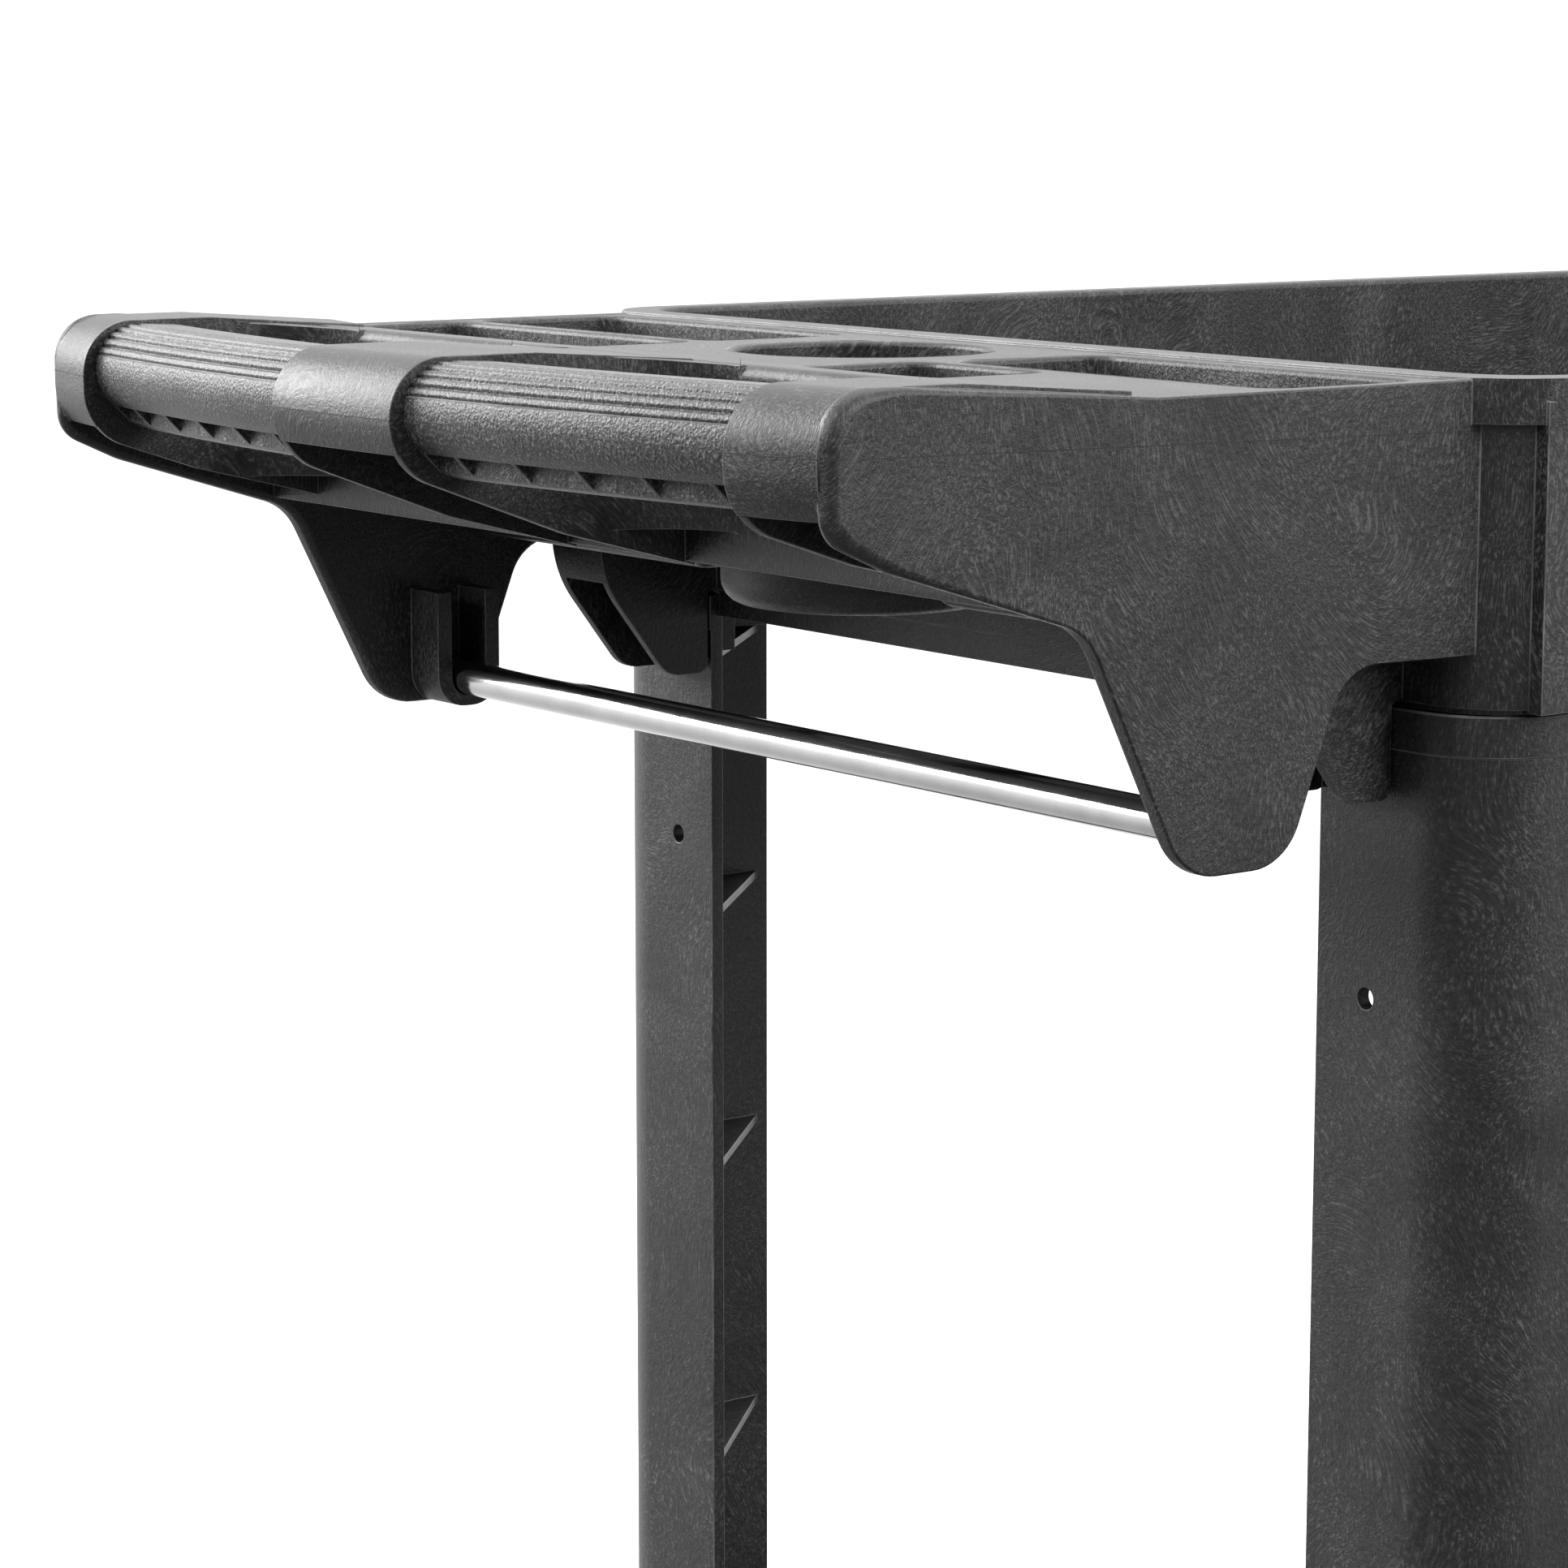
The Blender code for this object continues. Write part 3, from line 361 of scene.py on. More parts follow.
def tub_core(low, high):
    """The tub's body under its rim band."""
    return box((TUB_X + RIM_STEP, FAR_X - RIM_STEP), (-SIDE_Y + RIM_STEP, SIDE_Y - RIM_STEP), (low, high),
               CORNER - RIM_STEP, steps=5)


def tub_adds(low, rim):
    """Rim band, side panels and far-end panel of a tub."""
    panel_y = SIDE_Y - 0.0015
    side_panel = (EAR_X + 0.1038, FAR_X - 0.0422)
    return [
        box((TUB_X, FAR_X), (-SIDE_Y, SIDE_Y), (rim - RIM_BAND, rim), CORNER, steps=5),
        box(side_panel, (-panel_y, panel_y), (low, rim - RIM_BAND / 2)),
        box((0.0, FAR_X - 0.0015), (-0.1650, 0.1650), (low + 0.0002, rim - RIM_BAND / 2 - 0.0002)),
    ]


def cavity(handle_wall, floor, rim):
    """The room inside a tub; its wall at the handle end has its own thickness."""
    wall = 0.0100
    plan = rounded_box((TUB_X + handle_wall, FAR_X - wall), (-SIDE_Y + wall, SIDE_Y - wall), 0.024, 4)
    return pocket(plan, floor, rim, 0.008, 0.0025)


def underside_cells(first, low, high, columns=5, rows=3, rib=0.0035):
    """Cells between the ribs under a shelf's floor."""
    last = FAR_X - 0.0120
    half = SIDE_Y - 0.0120
    cells = []
    for column in range(columns):
        for row in range(rows):
            x = first + (last - first) * column / columns
            y = -half + 2 * half * row / rows
            cells.append(box((x + rib / 2, x + (last - first) / columns - rib / 2),
                             (y + rib / 2, y + 2 * half / rows - rib / 2), (low, high)))
    return cells


def corner_blocks(face, inner, outer, low, high, radius):
    """A block in each of the four corners, rounded on its outer edge.

    face is its depth from the bar's axis, mirrored at the far end."""
    blocks = []
    for end in (0, 1):
        for side in (-1, 1):
            near_x, deep_x = EAR_X + face, EAR_X + 0.1400
            if end:
                near_x, deep_x = TUB_X + FAR_X - near_x, TUB_X + FAR_X - deep_x
            corners = [(near_x, side * outer, radius), (deep_x, side * outer, 0),
                       (deep_x, side * inner, 0), (near_x, side * inner, 0)]
            blocks.append(solid(fillet(corners, 5), low, high))
    return blocks


def arm_outline():
    """Side of the handle: top edge, round front, swept underside and the ear that hangs from it."""
    front = -0.1422
    return fillet(at_ear([
        (0.1050, -0.0007, 0), (-0.0290, -0.0006, 0.060), (-0.1181, 0.0060, 0.040), (front, 0.0060, 0.0150),
        (front + 0.0010, -0.0330, 0.0110), (-0.1200, -0.0425, 0.030), (-0.0541, -0.0628, 0.020),
        (-0.0182, -0.1345, 0.0200), (0.0203, -0.1345, 0.0185), (0.0414, -0.0799, 0.0180),
        (0.1050, -0.0806, 0)]))


def arm_plate(side):
    """The arm as a plate, with a wide round on the upright edge at its front."""
    points = arm_outline()
    radii = []
    for x, _ in points:
        share = min(max((EAR_X - 0.1080 - x) / 0.0200, 0.0), 1.0)
        radii.append(ARM_EDGE + (ARM_FRONT_EDGE - ARM_EDGE) * share)
    return rounded_plate(points, radii, ARM_Y - ARM_WALL, ARM_Y, ARM_INNER_EDGE, side)


def block_shell(sweep, cut):
    """The C-shaped front of a handle block, cut off at a height, and the plate that runs back to the tray.

    sweep is the block's lower edge: its height at the front, and the knee behind it."""
    rear = 0.0013
    low, knee_x, knee_z = sweep
    slope = math.atan2(low - knee_z, knee_x)
    middle = low + SWEEP_RADIUS * math.tan((math.pi / 2 - slope) / 2)
    turn = math.asin((middle - cut) / SWEEP_RADIUS)
    corners = [(0.1064, rear, 0), (0.0480, BLOCK_TOP, 0.040), (0.0, BLOCK_TOP, NOSE_RADIUS)]
    steps = 4 * FINE
    for step in range(steps + 1):
        angle = turn * step / steps
        corners.append((SWEEP_RADIUS * (1 - math.cos(angle)), middle - SWEEP_RADIUS * math.sin(angle), 0))
    inner = SWEEP_RADIUS - BLOCK_WALL
    for angle in (turn, 0.0):
        corners.append((SWEEP_RADIUS - inner * math.cos(angle), middle - inner * math.sin(angle), 0))
    corners += [(BLOCK_WALL, BLOCK_TOP - BLOCK_WALL, NOSE_RADIUS - BLOCK_WALL),
                (0.0480, BLOCK_TOP - BLOCK_WALL, 0.030), (0.1064, rear - BLOCK_WALL, 0)]
    return fillet(at_nose(corners), steps=4)


def block_flange(sweep):
    """The upright wall at the side of a handle block, with its swept lower edge."""
    inset = 0.0004
    low, knee_x, knee_z = sweep
    return fillet(at_nose([
        (0.1064, 0.0008, 0), (0.0480, BLOCK_TOP - inset, 0.040),
        (inset, BLOCK_TOP - inset, NOSE_RADIUS - inset), (inset, low, SWEEP_RADIUS),
        (knee_x, knee_z, 0.030), (0.1064, -0.0600, 0)]), steps=4)


def grip_limits(side):
    """Limits of a grip along Y, measured outwards from the middle of the cart."""
    return (MIDDLE_NEAR if side < 0 else MIDDLE_FAR), END_BLOCK


def grip_pockets(side):
    """Pockets open downwards in one grip, with a thin rib between each two."""
    front = GRIP_SET + 0.0062
    outline = at_nose([(front - 0.0050, -0.0500, 0), (front, -0.0215, 0), (front + 0.0020, -0.0060, 0),
                       (GRIP_MOUTH, -0.0060, 0), (GRIP_MOUTH, -0.0500, 0)])
    outline = [(x, z) for x, z, _ in outline]
    half_rib = 0.0009
    inner, outer = grip_limits(side)
    middle = (inner + outer) / 2
    ribs = [middle + GRIP_RIB_PITCH * (index - (GRIP_RIBS - 1) / 2) for index in range(GRIP_RIBS)]
    edges = [inner] + ribs + [outer]
    pockets = []
    for start, end in zip(edges, edges[1:]):
        ends = sorted((side * (start + half_rib), side * (end - half_rib)))
        pockets.append(bowed(solid(outline, *ends, upright=True), stations=1))
    return pockets


def slot_corners():
    """Webs that round the rear corners of the two hand slots, where the blocks meet the tray."""
    webs = []
    front = EAR_X + TRAY_FRONT
    slope = 0.0788
    steps = 7 * FINE
    walls = [(-MIDDLE_NEAR, -1), (MIDDLE_FAR, 1), (-END_BLOCK, 1), (END_BLOCK, -1)]
    for wall, away in walls:
        outline = [(front + 0.0030, wall - away * 0.0015), (front - SLOT_CORNER, wall - away * 0.0015)]
        for step in range(steps + 1):
            turn = math.pi / 2 * step / steps
            outline.append((front - SLOT_CORNER * (1 - math.sin(turn)),
                            wall + away * SLOT_CORNER * (1 - math.cos(turn))))
        outline.append((front + 0.0030, wall + away * SLOT_CORNER))
        top = [(x, y, RIM_Z + 0.0013 + slope * (front - x)) for x, y in outline]
        webs.append(skin([[(x, y, RIM_Z - 0.0480) for x, y in outline], top]))
    return webs


def bar_bosses():
    """Blocks on the inner side of the ears that hold the bar's slots."""
    front = BAR_X - BOSS_HALF
    rear = BAR_X + BOSS_HALF
    outline = fillet([(front, RIM_Z + BOSS_TOP, 0), (front, RIM_Z + BOSS_BOTTOM, 0.011),
                      (rear, RIM_Z + BOSS_BOTTOM, 0.011), (rear, RIM_Z + BOSS_TOP, 0)])
    return [solid(outline, *limits, upright=True) for limits in both_sides(BOSS_Y, ARM_Y - 0.0020)]


def tray_adds():
    """The tray between the handle and the tub, its deep rear basins and the cup's basin."""
    low = -TRAY_DROP
    tray = fillet(at_ear([(TRAY_FRONT, low, 0), (TRAY_FRONT, 0.0018, 0.004), (-0.0290, -0.0008, 0.030),
                          (0.0920, TRAY_TOP, 0), (0.0920, low, 0)]))
    shapes = [solid(tray, -ARM_Y + 0.0030, ARM_Y - 0.0030, upright=True)]
    for limits in both_sides(REAR_INNER_Y - TRAY_WALL, REAR_OUTER_Y + TRAY_WALL):
        shapes.append(round_bottom(box((EAR_X + 0.0135, EAR_X + 0.0915), limits,
                                       (RIM_Z - BASIN_DROP, RIM_Z - 0.0300), 0.006), 0.008))
    cup = cylinder(CUP_RADIUS + TRAY_WALL, RIM_Z - CUP_DROP, RIM_Z - 0.0300, (EAR_X + CUP_X, 0.0))
    shapes.append(round_bottom(cup, 0.008))
    return shapes


def tray_cuts():
    """Compartments and cup holder, open at the top, with rounded mouths."""
    top = RIM_Z + TRAY_TOP
    front = (EAR_X - 0.0345, EAR_X + 0.0135)
    rear = (EAR_X + 0.0195, EAR_X + 0.0770)
    shallow = RIM_Z - TRAY_DROP + TRAY_WALL
    deep = RIM_Z - BASIN_DROP + TRAY_WALL
    corner = 0.009
    mouth = 0.0018
    cuts = [pocket(rounded_box(front, (REAR_INNER_Y, REAR_OUTER_Y), corner), shallow, top, 0.004, mouth),
            pocket(rounded_box(front, (-0.1155, -0.0550), corner), shallow, top, 0.004, mouth)]
    for limits in both_sides(REAR_INNER_Y, REAR_OUTER_Y):
        cuts.append(pocket(rounded_box(rear, limits, corner), deep, top, 0.006, mouth))
    cup = circle((EAR_X + CUP_X, 0.0), CUP_RADIUS)
    cuts.append(pocket(cup, RIM_Z - CUP_DROP + TRAY_WALL, top, 0.006, mouth))
    return cuts


def gussets():
    """Brackets under the tray, in front of each handle-end leg."""
    outline = fillet(at_ear([(0.0375, -0.0500, 0), (0.0405, -0.0900, 0.040), (0.0680, -0.1257, 0.012),
                             (0.0855, -0.1257, 0.004), (0.0855, -0.0972, 0), (0.0930, -0.0940, 0),
                             (0.0930, -0.0500, 0)]))
    return [solid(outline, *limits, upright=True) for limits in both_sides(GUSSET_IN, GUSSET_OUT)]


def gusset_pockets():
    """The room between a gusset's two plates, open below and behind its front wall."""
    plate = 0.0036
    pockets = []
    for limits in both_sides(GUSSET_IN + plate, GUSSET_OUT - plate):
        pockets.append(box((EAR_X + 0.0430, EAR_X + 0.0836), limits, (RIM_Z - 0.1400, RIM_Z - 0.0800)))
        pockets.append(box((EAR_X + 0.0300, EAR_X + 0.0440), limits, (RIM_Z - 0.1400, RIM_Z - 0.0945)))
    return pockets


def bar_slots():
    """U-shaped slots in the bosses, open upwards and towards the middle."""
    middle = RIM_Z - BAR_DROP + SLOT_HALF - BAR_RADIUS - FIT
    mouth = RIM_Z + BOSS_TOP + 0.01
    front, rear = BAR_X - SLOT_HALF, BAR_X + SLOT_HALF
    round_foot = SLOT_HALF * 0.999
    outline = fillet([(front, mouth, 0), (front, middle - SLOT_HALF, round_foot),
                      (rear, middle - SLOT_HALF, round_foot), (rear, mouth, 0)], steps=6)
    ends = both_sides(BOSS_Y - 0.01, ARM_Y - ARM_WALL - FIT)
    return [solid(outline, *limits, upright=True) for limits in ends]


def leg_section(face, wall=LEG_WALL, inner_y=LEG_INNER_Y, depth=LEG_DEPTH):
    """L-section in plan, as depth from the middle of the ears and distance from the middle of the cart."""
    side = LEG_SIDE - (face - LEG_FACE)
    inner = face + wall
    inner_side = side - wall
    corner = CORNER - 0.001 - (face - LEG_FACE)
    return fillet([(face, inner_y, 0), (face, side, corner), (depth, side, 0), (depth, inner_side, 0),
                   (inner, inner_side, corner - wall), (inner, inner_y, 0)], steps=4)


def placed(points, end, side):
    """Plan points of the near handle-end corner, moved to another corner of the cart."""
    moved = []
    for depth, across in points:
        x = EAR_X + depth
        if end:
            x = TUB_X + FAR_X - x
        moved.append((x, side * across))
    return moved


def leg_plugs(low, high):
    """The tongues of a shelf that stand inside the four legs."""
    section = leg_section(LEG_FACE + LEG_WALL + FIT, PLUG_WALL, LEG_INNER_Y + 0.004, LEG_DEPTH - 0.004)
    return [solid(placed(section, end, side), low, high) for end in (0, 1) for side in (-1, 1)]


def fused(name, first, steps):
    """One mesh object from a first shape and a list of (operation, shapes) Booleans.

    Vertices nearer than close are merged, which leaves the edge rounds fewer slivers to fold over."""
    close = 0.00005

    def hold(bm, label):
        mesh = bpy.data.meshes.new(label)
        bm.to_mesh(mesh)
        bm.free()
        return bpy.data.objects.new(label, mesh)

    part = hold(first, name)
    bpy.context.scene.collection.objects.link(part)
    groups = []
    for operation, shapes in steps:
        group = bpy.data.collections.new(name + "_" + operation.lower())
        bpy.context.scene.collection.children.link(group)
        groups.append(group)
        for bm in shapes:
            group.objects.link(hold(bm, group.name))
        boolean = part.modifiers.new(operation.title(), "BOOLEAN")
        boolean.operation = operation
        boolean.operand_type = "COLLECTION"
        boolean.collection = group
        boolean.solver = "MANIFOLD"
    depsgraph = bpy.context.evaluated_depsgraph_get()
    joined = bmesh.new()
    joined.from_object(part, depsgraph)
    bmesh.ops.triangulate(joined, faces=joined.faces)
    bmesh.ops.remove_doubles(joined, verts=joined.verts, dist=close)
    bmesh.ops.dissolve_degenerate(joined, dist=close, edges=joined.edges)
    part.modifiers.clear()
    joined.to_mesh(part.data)
    joined.free()
    for group in groups:
        for shape in list(group.objects):
            spare = shape.data
            bpy.data.objects.remove(shape)
            bpy.data.meshes.remove(spare)
        bpy.data.collections.remove(group)
    return part


def mesh_piece(name, bm):
    """A mesh object in the scene from a bmesh, which it frees."""
    mesh = bpy.data.meshes.new(name)
    bm.to_mesh(mesh)
    bm.free()
    piece = bpy.data.objects.new(name, mesh)
    bpy.context.scene.collection.objects.link(piece)
    return piece


def softened(piece, width, angle=32.0, edge_slot=OWN_EDGE):
    """Small rounds on every edge sharper than angle, and normals that keep the flat faces flat."""
    for face in piece.data.polygons:
        face.use_smooth = True
    weld = piece.modifiers.new("Weld", "WELD")
    weld.merge_threshold = 0.00001
    bevel = piece.modifiers.new("Edge round", "BEVEL")
    bevel.width = width
    bevel.segments = 2
    bevel.limit_method = "ANGLE"
    bevel.angle_limit = math.radians(angle)
    bevel.use_clamp_overlap = False
    bevel.loop_slide = False
    bevel.material = edge_slot
    normals = piece.modifiers.new("Normals", "WEIGHTED_NORMAL")
    normals.mode = "FACE_AREA_WITH_ANGLE"
    normals.weight = 80


def finish_with(piece, slot, *materials):
    """Give a piece its materials. The slot argument, the record's slot that they stand for, is not used."""
    piece.data.materials.clear()
    for material in materials:
        piece.data.materials.append(material)


# Materials

class Graph:
    """Builds nodes for a material or a world. All but node, feed and plug return the new node's output."""

    def __init__(self, owner):
        owner.use_nodes = True
        self.owner = owner
        self.tree = owner.node_tree

    def node(self, kind, inputs=(), **settings):
        made = self.tree.nodes.new(kind)
        for key, value in settings.items():
            setattr(made, key, value)
        self.feed(made, dict(inputs))
        return made

    def feed(self, node, inputs):
        """Set a node's inputs, or link them where the value is another node's output."""
        for key, value in inputs.items():
            socket = node.inputs[key]
            if isinstance(value, bpy.types.NodeSocket):
                self.tree.links.new(value, socket)
            else:
                socket.default_value = value

    def place(self, scale=(1.0, 1.0, 1.0)):
        where = self.node("ShaderNodeTexCoord").outputs["Object"]
        return self.node("ShaderNodeMapping", {"Vector": where, "Scale": scale}).outputs["Vector"]

    def noise(self, where, scale, detail=2.0, distortion=0.0, rough=0.5):
        inputs = {"Vector": where, "Scale": scale, "Detail": detail, "Distortion": distortion,
                  "Roughness": rough}
        return self.node("ShaderNodeTexNoise", inputs).outputs["Fac"]

    def span(self, value, low, high, to_low, to_high):
        inputs = {"Value": value, "From Min": low, "From Max": high, "To Min": to_low, "To Max": to_high}
        return self.node("ShaderNodeMapRange", inputs).outputs["Result"]

    def math(self, operation, first, second):
        return self.node("ShaderNodeMath", {0: first, 1: second}, operation=operation).outputs["Value"]

    def total(self, *parts):
        """The sum of values, each given with its weight."""
        shares = [self.math("MULTIPLY", value, weight) for value, weight in parts]
        result = shares[0]
        for share in shares[1:]:
            result = self.math("ADD", result, share)
        return result

    def ramp(self, value, *stops):
        made = self.node("ShaderNodeValToRGB", {"Fac": value})
        elements = made.color_ramp.elements
        while len(elements) < len(stops):
            elements.new(0.5)
        for element, (place, colour) in zip(elements, stops):
            element.position = place
            element.color = (*colour, 1.0)
        return made.outputs["Color"]

    def bump(self, height, strength, distance):
        inputs = {"Height": height, "Strength": strength, "Distance": distance}
        return self.node("ShaderNodeBump", inputs).outputs["Normal"]

    def plug(self, **sockets):
        """Feed the material's own shader, with _ for the spaces in its names, and return the material."""
        self.feed(self.tree.nodes["Principled BSDF"],
                  {key.replace("_", " "): value for key, value in sockets.items()})
        return self.owner


def new_material(name):
    return Graph(bpy.data.materials.new(name))


# Swirls of the resin: scale of each slow noise, and how far it pushes the grain, in metres
SWIRLS = ((4.5, 0.24), (13.0, 0.09))
# The streaks are fine across X and Y and long along Z, before the swirls turn them
STREAK_SCALE = (1300.0, 1300.0, 200.0)
STREAK_WEIGHT = 0.50
PATCH_WEIGHT = 0.26
FLECK_WEIGHT = 0.24


def swirled_coordinates(graph):
    """Object coordinates bent by slow noises, so that a stretched grain runs in fans and swirls."""
    where = graph.place()
    for scale, reach in SWIRLS:
        slow = graph.node("ShaderNodeTexNoise", {"Vector": graph.place(), "Scale": scale, "Detail": 1.0})
        centred = graph.node("ShaderNodeVectorMath", {0: slow.outputs["Color"], 1: (0.5, 0.5, 0.5)},
                             operation="SUBTRACT").outputs["Vector"]
        pushed = graph.node("ShaderNodeVectorMath", {0: centred, "Scale": reach},
                            operation="SCALE").outputs["Vector"]
        where = graph.node("ShaderNodeVectorMath", {0: where, 1: pushed}, operation="ADD").outputs["Vector"]
    return where


def resin(name, dark=(0.006, 0.006, 0.0064), light=(0.112, 0.112, 0.116), streak=1.0):
    """Structural-foam resin: slow mottling, short streaks that follow the flow, and fine flecks."""
    graph = new_material(name)
    swirled = swirled_coordinates(graph)
    patches = graph.noise(graph.place(), 14.0, 5.0, 1.4, 0.6)
    stretched = graph.node("ShaderNodeMapping", {"Vector": swirled, "Scale": STREAK_SCALE})
    streaks = graph.noise(stretched.outputs["Vector"], 1.0, 2.0, 0.3, 0.55)
    flecks = graph.noise(graph.place(), 560.0, 3.0, 0.0, 0.75)
    tone = graph.total((graph.span(streaks, 0.40, 0.66, 0.0, 1.0), STREAK_WEIGHT * streak),
                       (graph.span(patches, 0.32, 0.68, 0.0, 1.0), PATCH_WEIGHT),
                       (graph.span(flecks, 0.42, 0.68, 0.0, 1.0), FLECK_WEIGHT))
    between = tuple(a + (b - a) * 0.15 for a, b in zip(dark, light))
    colour = graph.ramp(tone, (0.10, dark), (0.50, between), (0.90, light))
    height = graph.total((streaks, 0.5 * streak), (flecks, 0.8))
    return graph.plug(Base_Color=colour, Roughness=graph.span(tone, 0.1, 0.9, 0.34, 0.54),
                      Normal=graph.bump(height, 0.70, 0.00040))


def painted_edge_highlight(name):
    """Painted highlight: a thin pale line on the resin's edges, standing in for the light that the small
    rounds catch.
    """
    graph = new_material(name)
    broken = graph.noise(graph.place(), 45.0, 6.0, 0.0, 0.7)
    colour = graph.ramp(broken, (0.35, (0.035, 0.035, 0.035)), (0.72, (0.24, 0.24, 0.245)))
    return graph.plug(Base_Color=colour, Roughness=0.38)


def seam(name):
    """The shadowed joint line of the mould."""
    graph = new_material(name)
    broken = graph.noise(graph.place(), 300.0, 3.0, 0.0, 0.7)
    colour = graph.ramp(broken, (0.35, (0.004, 0.004, 0.004)), (0.75, (0.030, 0.030, 0.031)))
    return graph.plug(Base_Color=colour, Roughness=0.7)


def stippled(name):
    """Grip surface: a pebbled texture over the same resin."""
    graph = new_material(name)
    cells = graph.node("ShaderNodeTexVoronoi", {"Vector": graph.place(), "Scale": 1100.0})
    fine = graph.noise(graph.place(), 950.0, 3.0, 0.0, 0.7)
    patches = graph.noise(graph.place(), 30.0, 3.0, 0.5)
    tone = graph.total((graph.span(fine, 0.34, 0.66, 0.0, 1.0), 0.7), (patches, 0.3))
    colour = graph.ramp(tone, (0.20, (0.014, 0.014, 0.0145)), (0.60, (0.060, 0.060, 0.062)),
                        (0.92, (0.26, 0.26, 0.265)))
    height = graph.total((cells.outputs["Distance"], 0.6), (fine, 0.9))
    return graph.plug(Base_Color=colour, Roughness=graph.span(tone, 0.0, 1.0, 0.30, 0.48),
                      Normal=graph.bump(height, 0.75, 0.00035))


def polished(name):
    """Chrome plate with faint lines drawn along the bar."""
    graph = new_material(name)
    lines = graph.noise(graph.place((900.0, 3.0, 900.0)), 1.0, 3.0, 0.0, 0.6)
    haze = graph.noise(graph.place(), 60.0, 4.0, 0.5)
    colour = graph.ramp(haze, (0.3, (0.74, 0.74, 0.75)), (0.7, (0.84, 0.84, 0.85)))
    rough = graph.math("ADD", graph.span(lines, 0.3, 0.7, 0.10, 0.18),
                       graph.span(haze, 0.4, 0.8, 0.0, 0.05))
    return graph.plug(Base_Color=colour, Metallic=1.0, Roughness=rough,
                      Normal=graph.bump(lines, 0.06, 0.00005))


def zinc(name):
    """Bright zinc plate on pressed steel."""
    graph = new_material(name)
    cloud = graph.noise(graph.place(), 90.0, 5.0, 0.8)
    fine = graph.noise(graph.place(), 1200.0, 2.0)
    colour = graph.ramp(cloud, (0.25, (0.46, 0.47, 0.49)), (0.75, (0.68, 0.69, 0.70)))
    rough = graph.math("ADD", graph.span(cloud, 0.3, 0.7, 0.22, 0.36),
                       graph.span(fine, 0.3, 0.7, 0.0, 0.06))
    return graph.plug(Base_Color=colour, Metallic=1.0, Roughness=rough,
                      Normal=graph.bump(fine, 0.12, 0.00006))


def rubber(name):
    """Moulded tread rubber, a little dusty."""
    graph = new_material(name)
    dust = graph.noise(graph.place(), 38.0, 6.0, 0.6, 0.65)
    fine = graph.noise(graph.place(), 1400.0, 3.0)
    colour = graph.ramp(dust, (0.35, (0.050, 0.050, 0.052)), (0.80, (0.110, 0.108, 0.104)))
    return graph.plug(Base_Color=colour, Roughness=graph.span(dust, 0.3, 0.8, 0.58, 0.82),
                      Normal=graph.bump(fine, 0.25, 0.00010))


RESIN = resin("resin")
# A lighter copy of the resin for the legs: painted light, standing in for the brighter light on the legs'
# fronts
RESIN_LEG_PAINTED_LIGHT = resin("resin_leg_painted_light", dark=(0.009, 0.009, 0.0095), light=(0.135, 0.135, 0.139), streak=0.8)
# Pale rounds on the resin's edges: a painted highlight
EDGE_HIGHLIGHT = painted_edge_highlight("resin_edge_painted_highlight")
SEAM = seam("resin_seam")
GRIP = stippled("resin_grip")
CHROME = polished("bar_chrome")
ZINC = zinc("zinc_plate")
RUBBER = rubber("tread_rubber")
HUB = resin("hub_resin", dark=(0.020, 0.020, 0.021), light=(0.045, 0.045, 0.047), streak=0.4)


# Top shelf

def handle_shapes():
    """Arms, handle blocks and all that holds the grips and the bar."""
    shapes = bar_bosses() + slot_corners()
    shapes += [arm_plate(side) for side in (-1, 1)]
    end_shell = block_shell(END_SWEEP, END_CUT)
    for limits in both_sides(END_BLOCK, ARM_Y - ARM_FRONT_EDGE):
        shapes.append(bowed(solid(end_shell, *limits, upright=True), stations=1))
    middle_shell = block_shell(MIDDLE_SWEEP, MIDDLE_CUT)
    shapes.append(bowed(solid(middle_shell, -MIDDLE_NEAR, MIDDLE_FAR, upright=True), stations=2))
    for side in (-1, 1):
        inner, outer = grip_limits(side)
        inner_y = sorted((side * (inner - FLANGE), side * inner))
        shapes.append(bowed(solid(block_flange(MIDDLE_SWEEP), *inner_y, upright=True), stations=1))
        outer_y = sorted((side * outer, side * (outer + FLANGE)))
        shapes.append(bowed(solid(block_flange(END_SWEEP), *outer_y, upright=True), stations=1))
    return shapes


def grip_profile():
    """Section of a grip: a round front, ridges over its top, and a mouth cut at a slant below.

    Turns are in degrees about the middle of the round front, from the mouth up to the last ridge."""
    reach = 0.0144
    middle_x = GRIP_SET + reach
    middle_z = GRIP_TOP - reach - 0.0002
    mouth_turn, ridge_start, ridge_end, ridges = 227.0, 160.0, 92.0, 5
    groove, groove_share = 0.0010, 0.17
    corners = []
    steps = 150
    for step in range(steps + 1):
        turn = mouth_turn - (mouth_turn - ridge_end) * step / steps
        radius = reach
        if turn < ridge_start:
            phase = (ridge_start - turn) / (ridge_start - ridge_end) * ridges % 1.0
            radius -= groove * math.exp(-((min(phase, 1.0 - phase)) / groove_share) ** 2)
        corners.append((middle_x + radius * math.cos(math.radians(turn)),
                        middle_z + radius * math.sin(math.radians(turn)), 0))
    corners += [(middle_x + 0.0022, GRIP_TOP - 0.0002, 0), (0.0375, GRIP_TOP - 0.0010, 0.004),
                (0.0375, -0.0240, 0.004), (GRIP_MOUTH + 0.0030, -0.0290, 0), (GRIP_MOUTH, -0.0273, 0)]
    return fillet(at_nose(corners), steps=2)


def strip(points, height):
    """A thin closed strip; each point gives its outer and inner place in plan and its middle height."""
    rings = []
    for outer, inner, z in points:
        rings.append([(*outer, z - height / 2), (*outer, z + height / 2),
                      (*inner, z + height / 2), (*inner, z - height / 2)])
    return skin(rings)


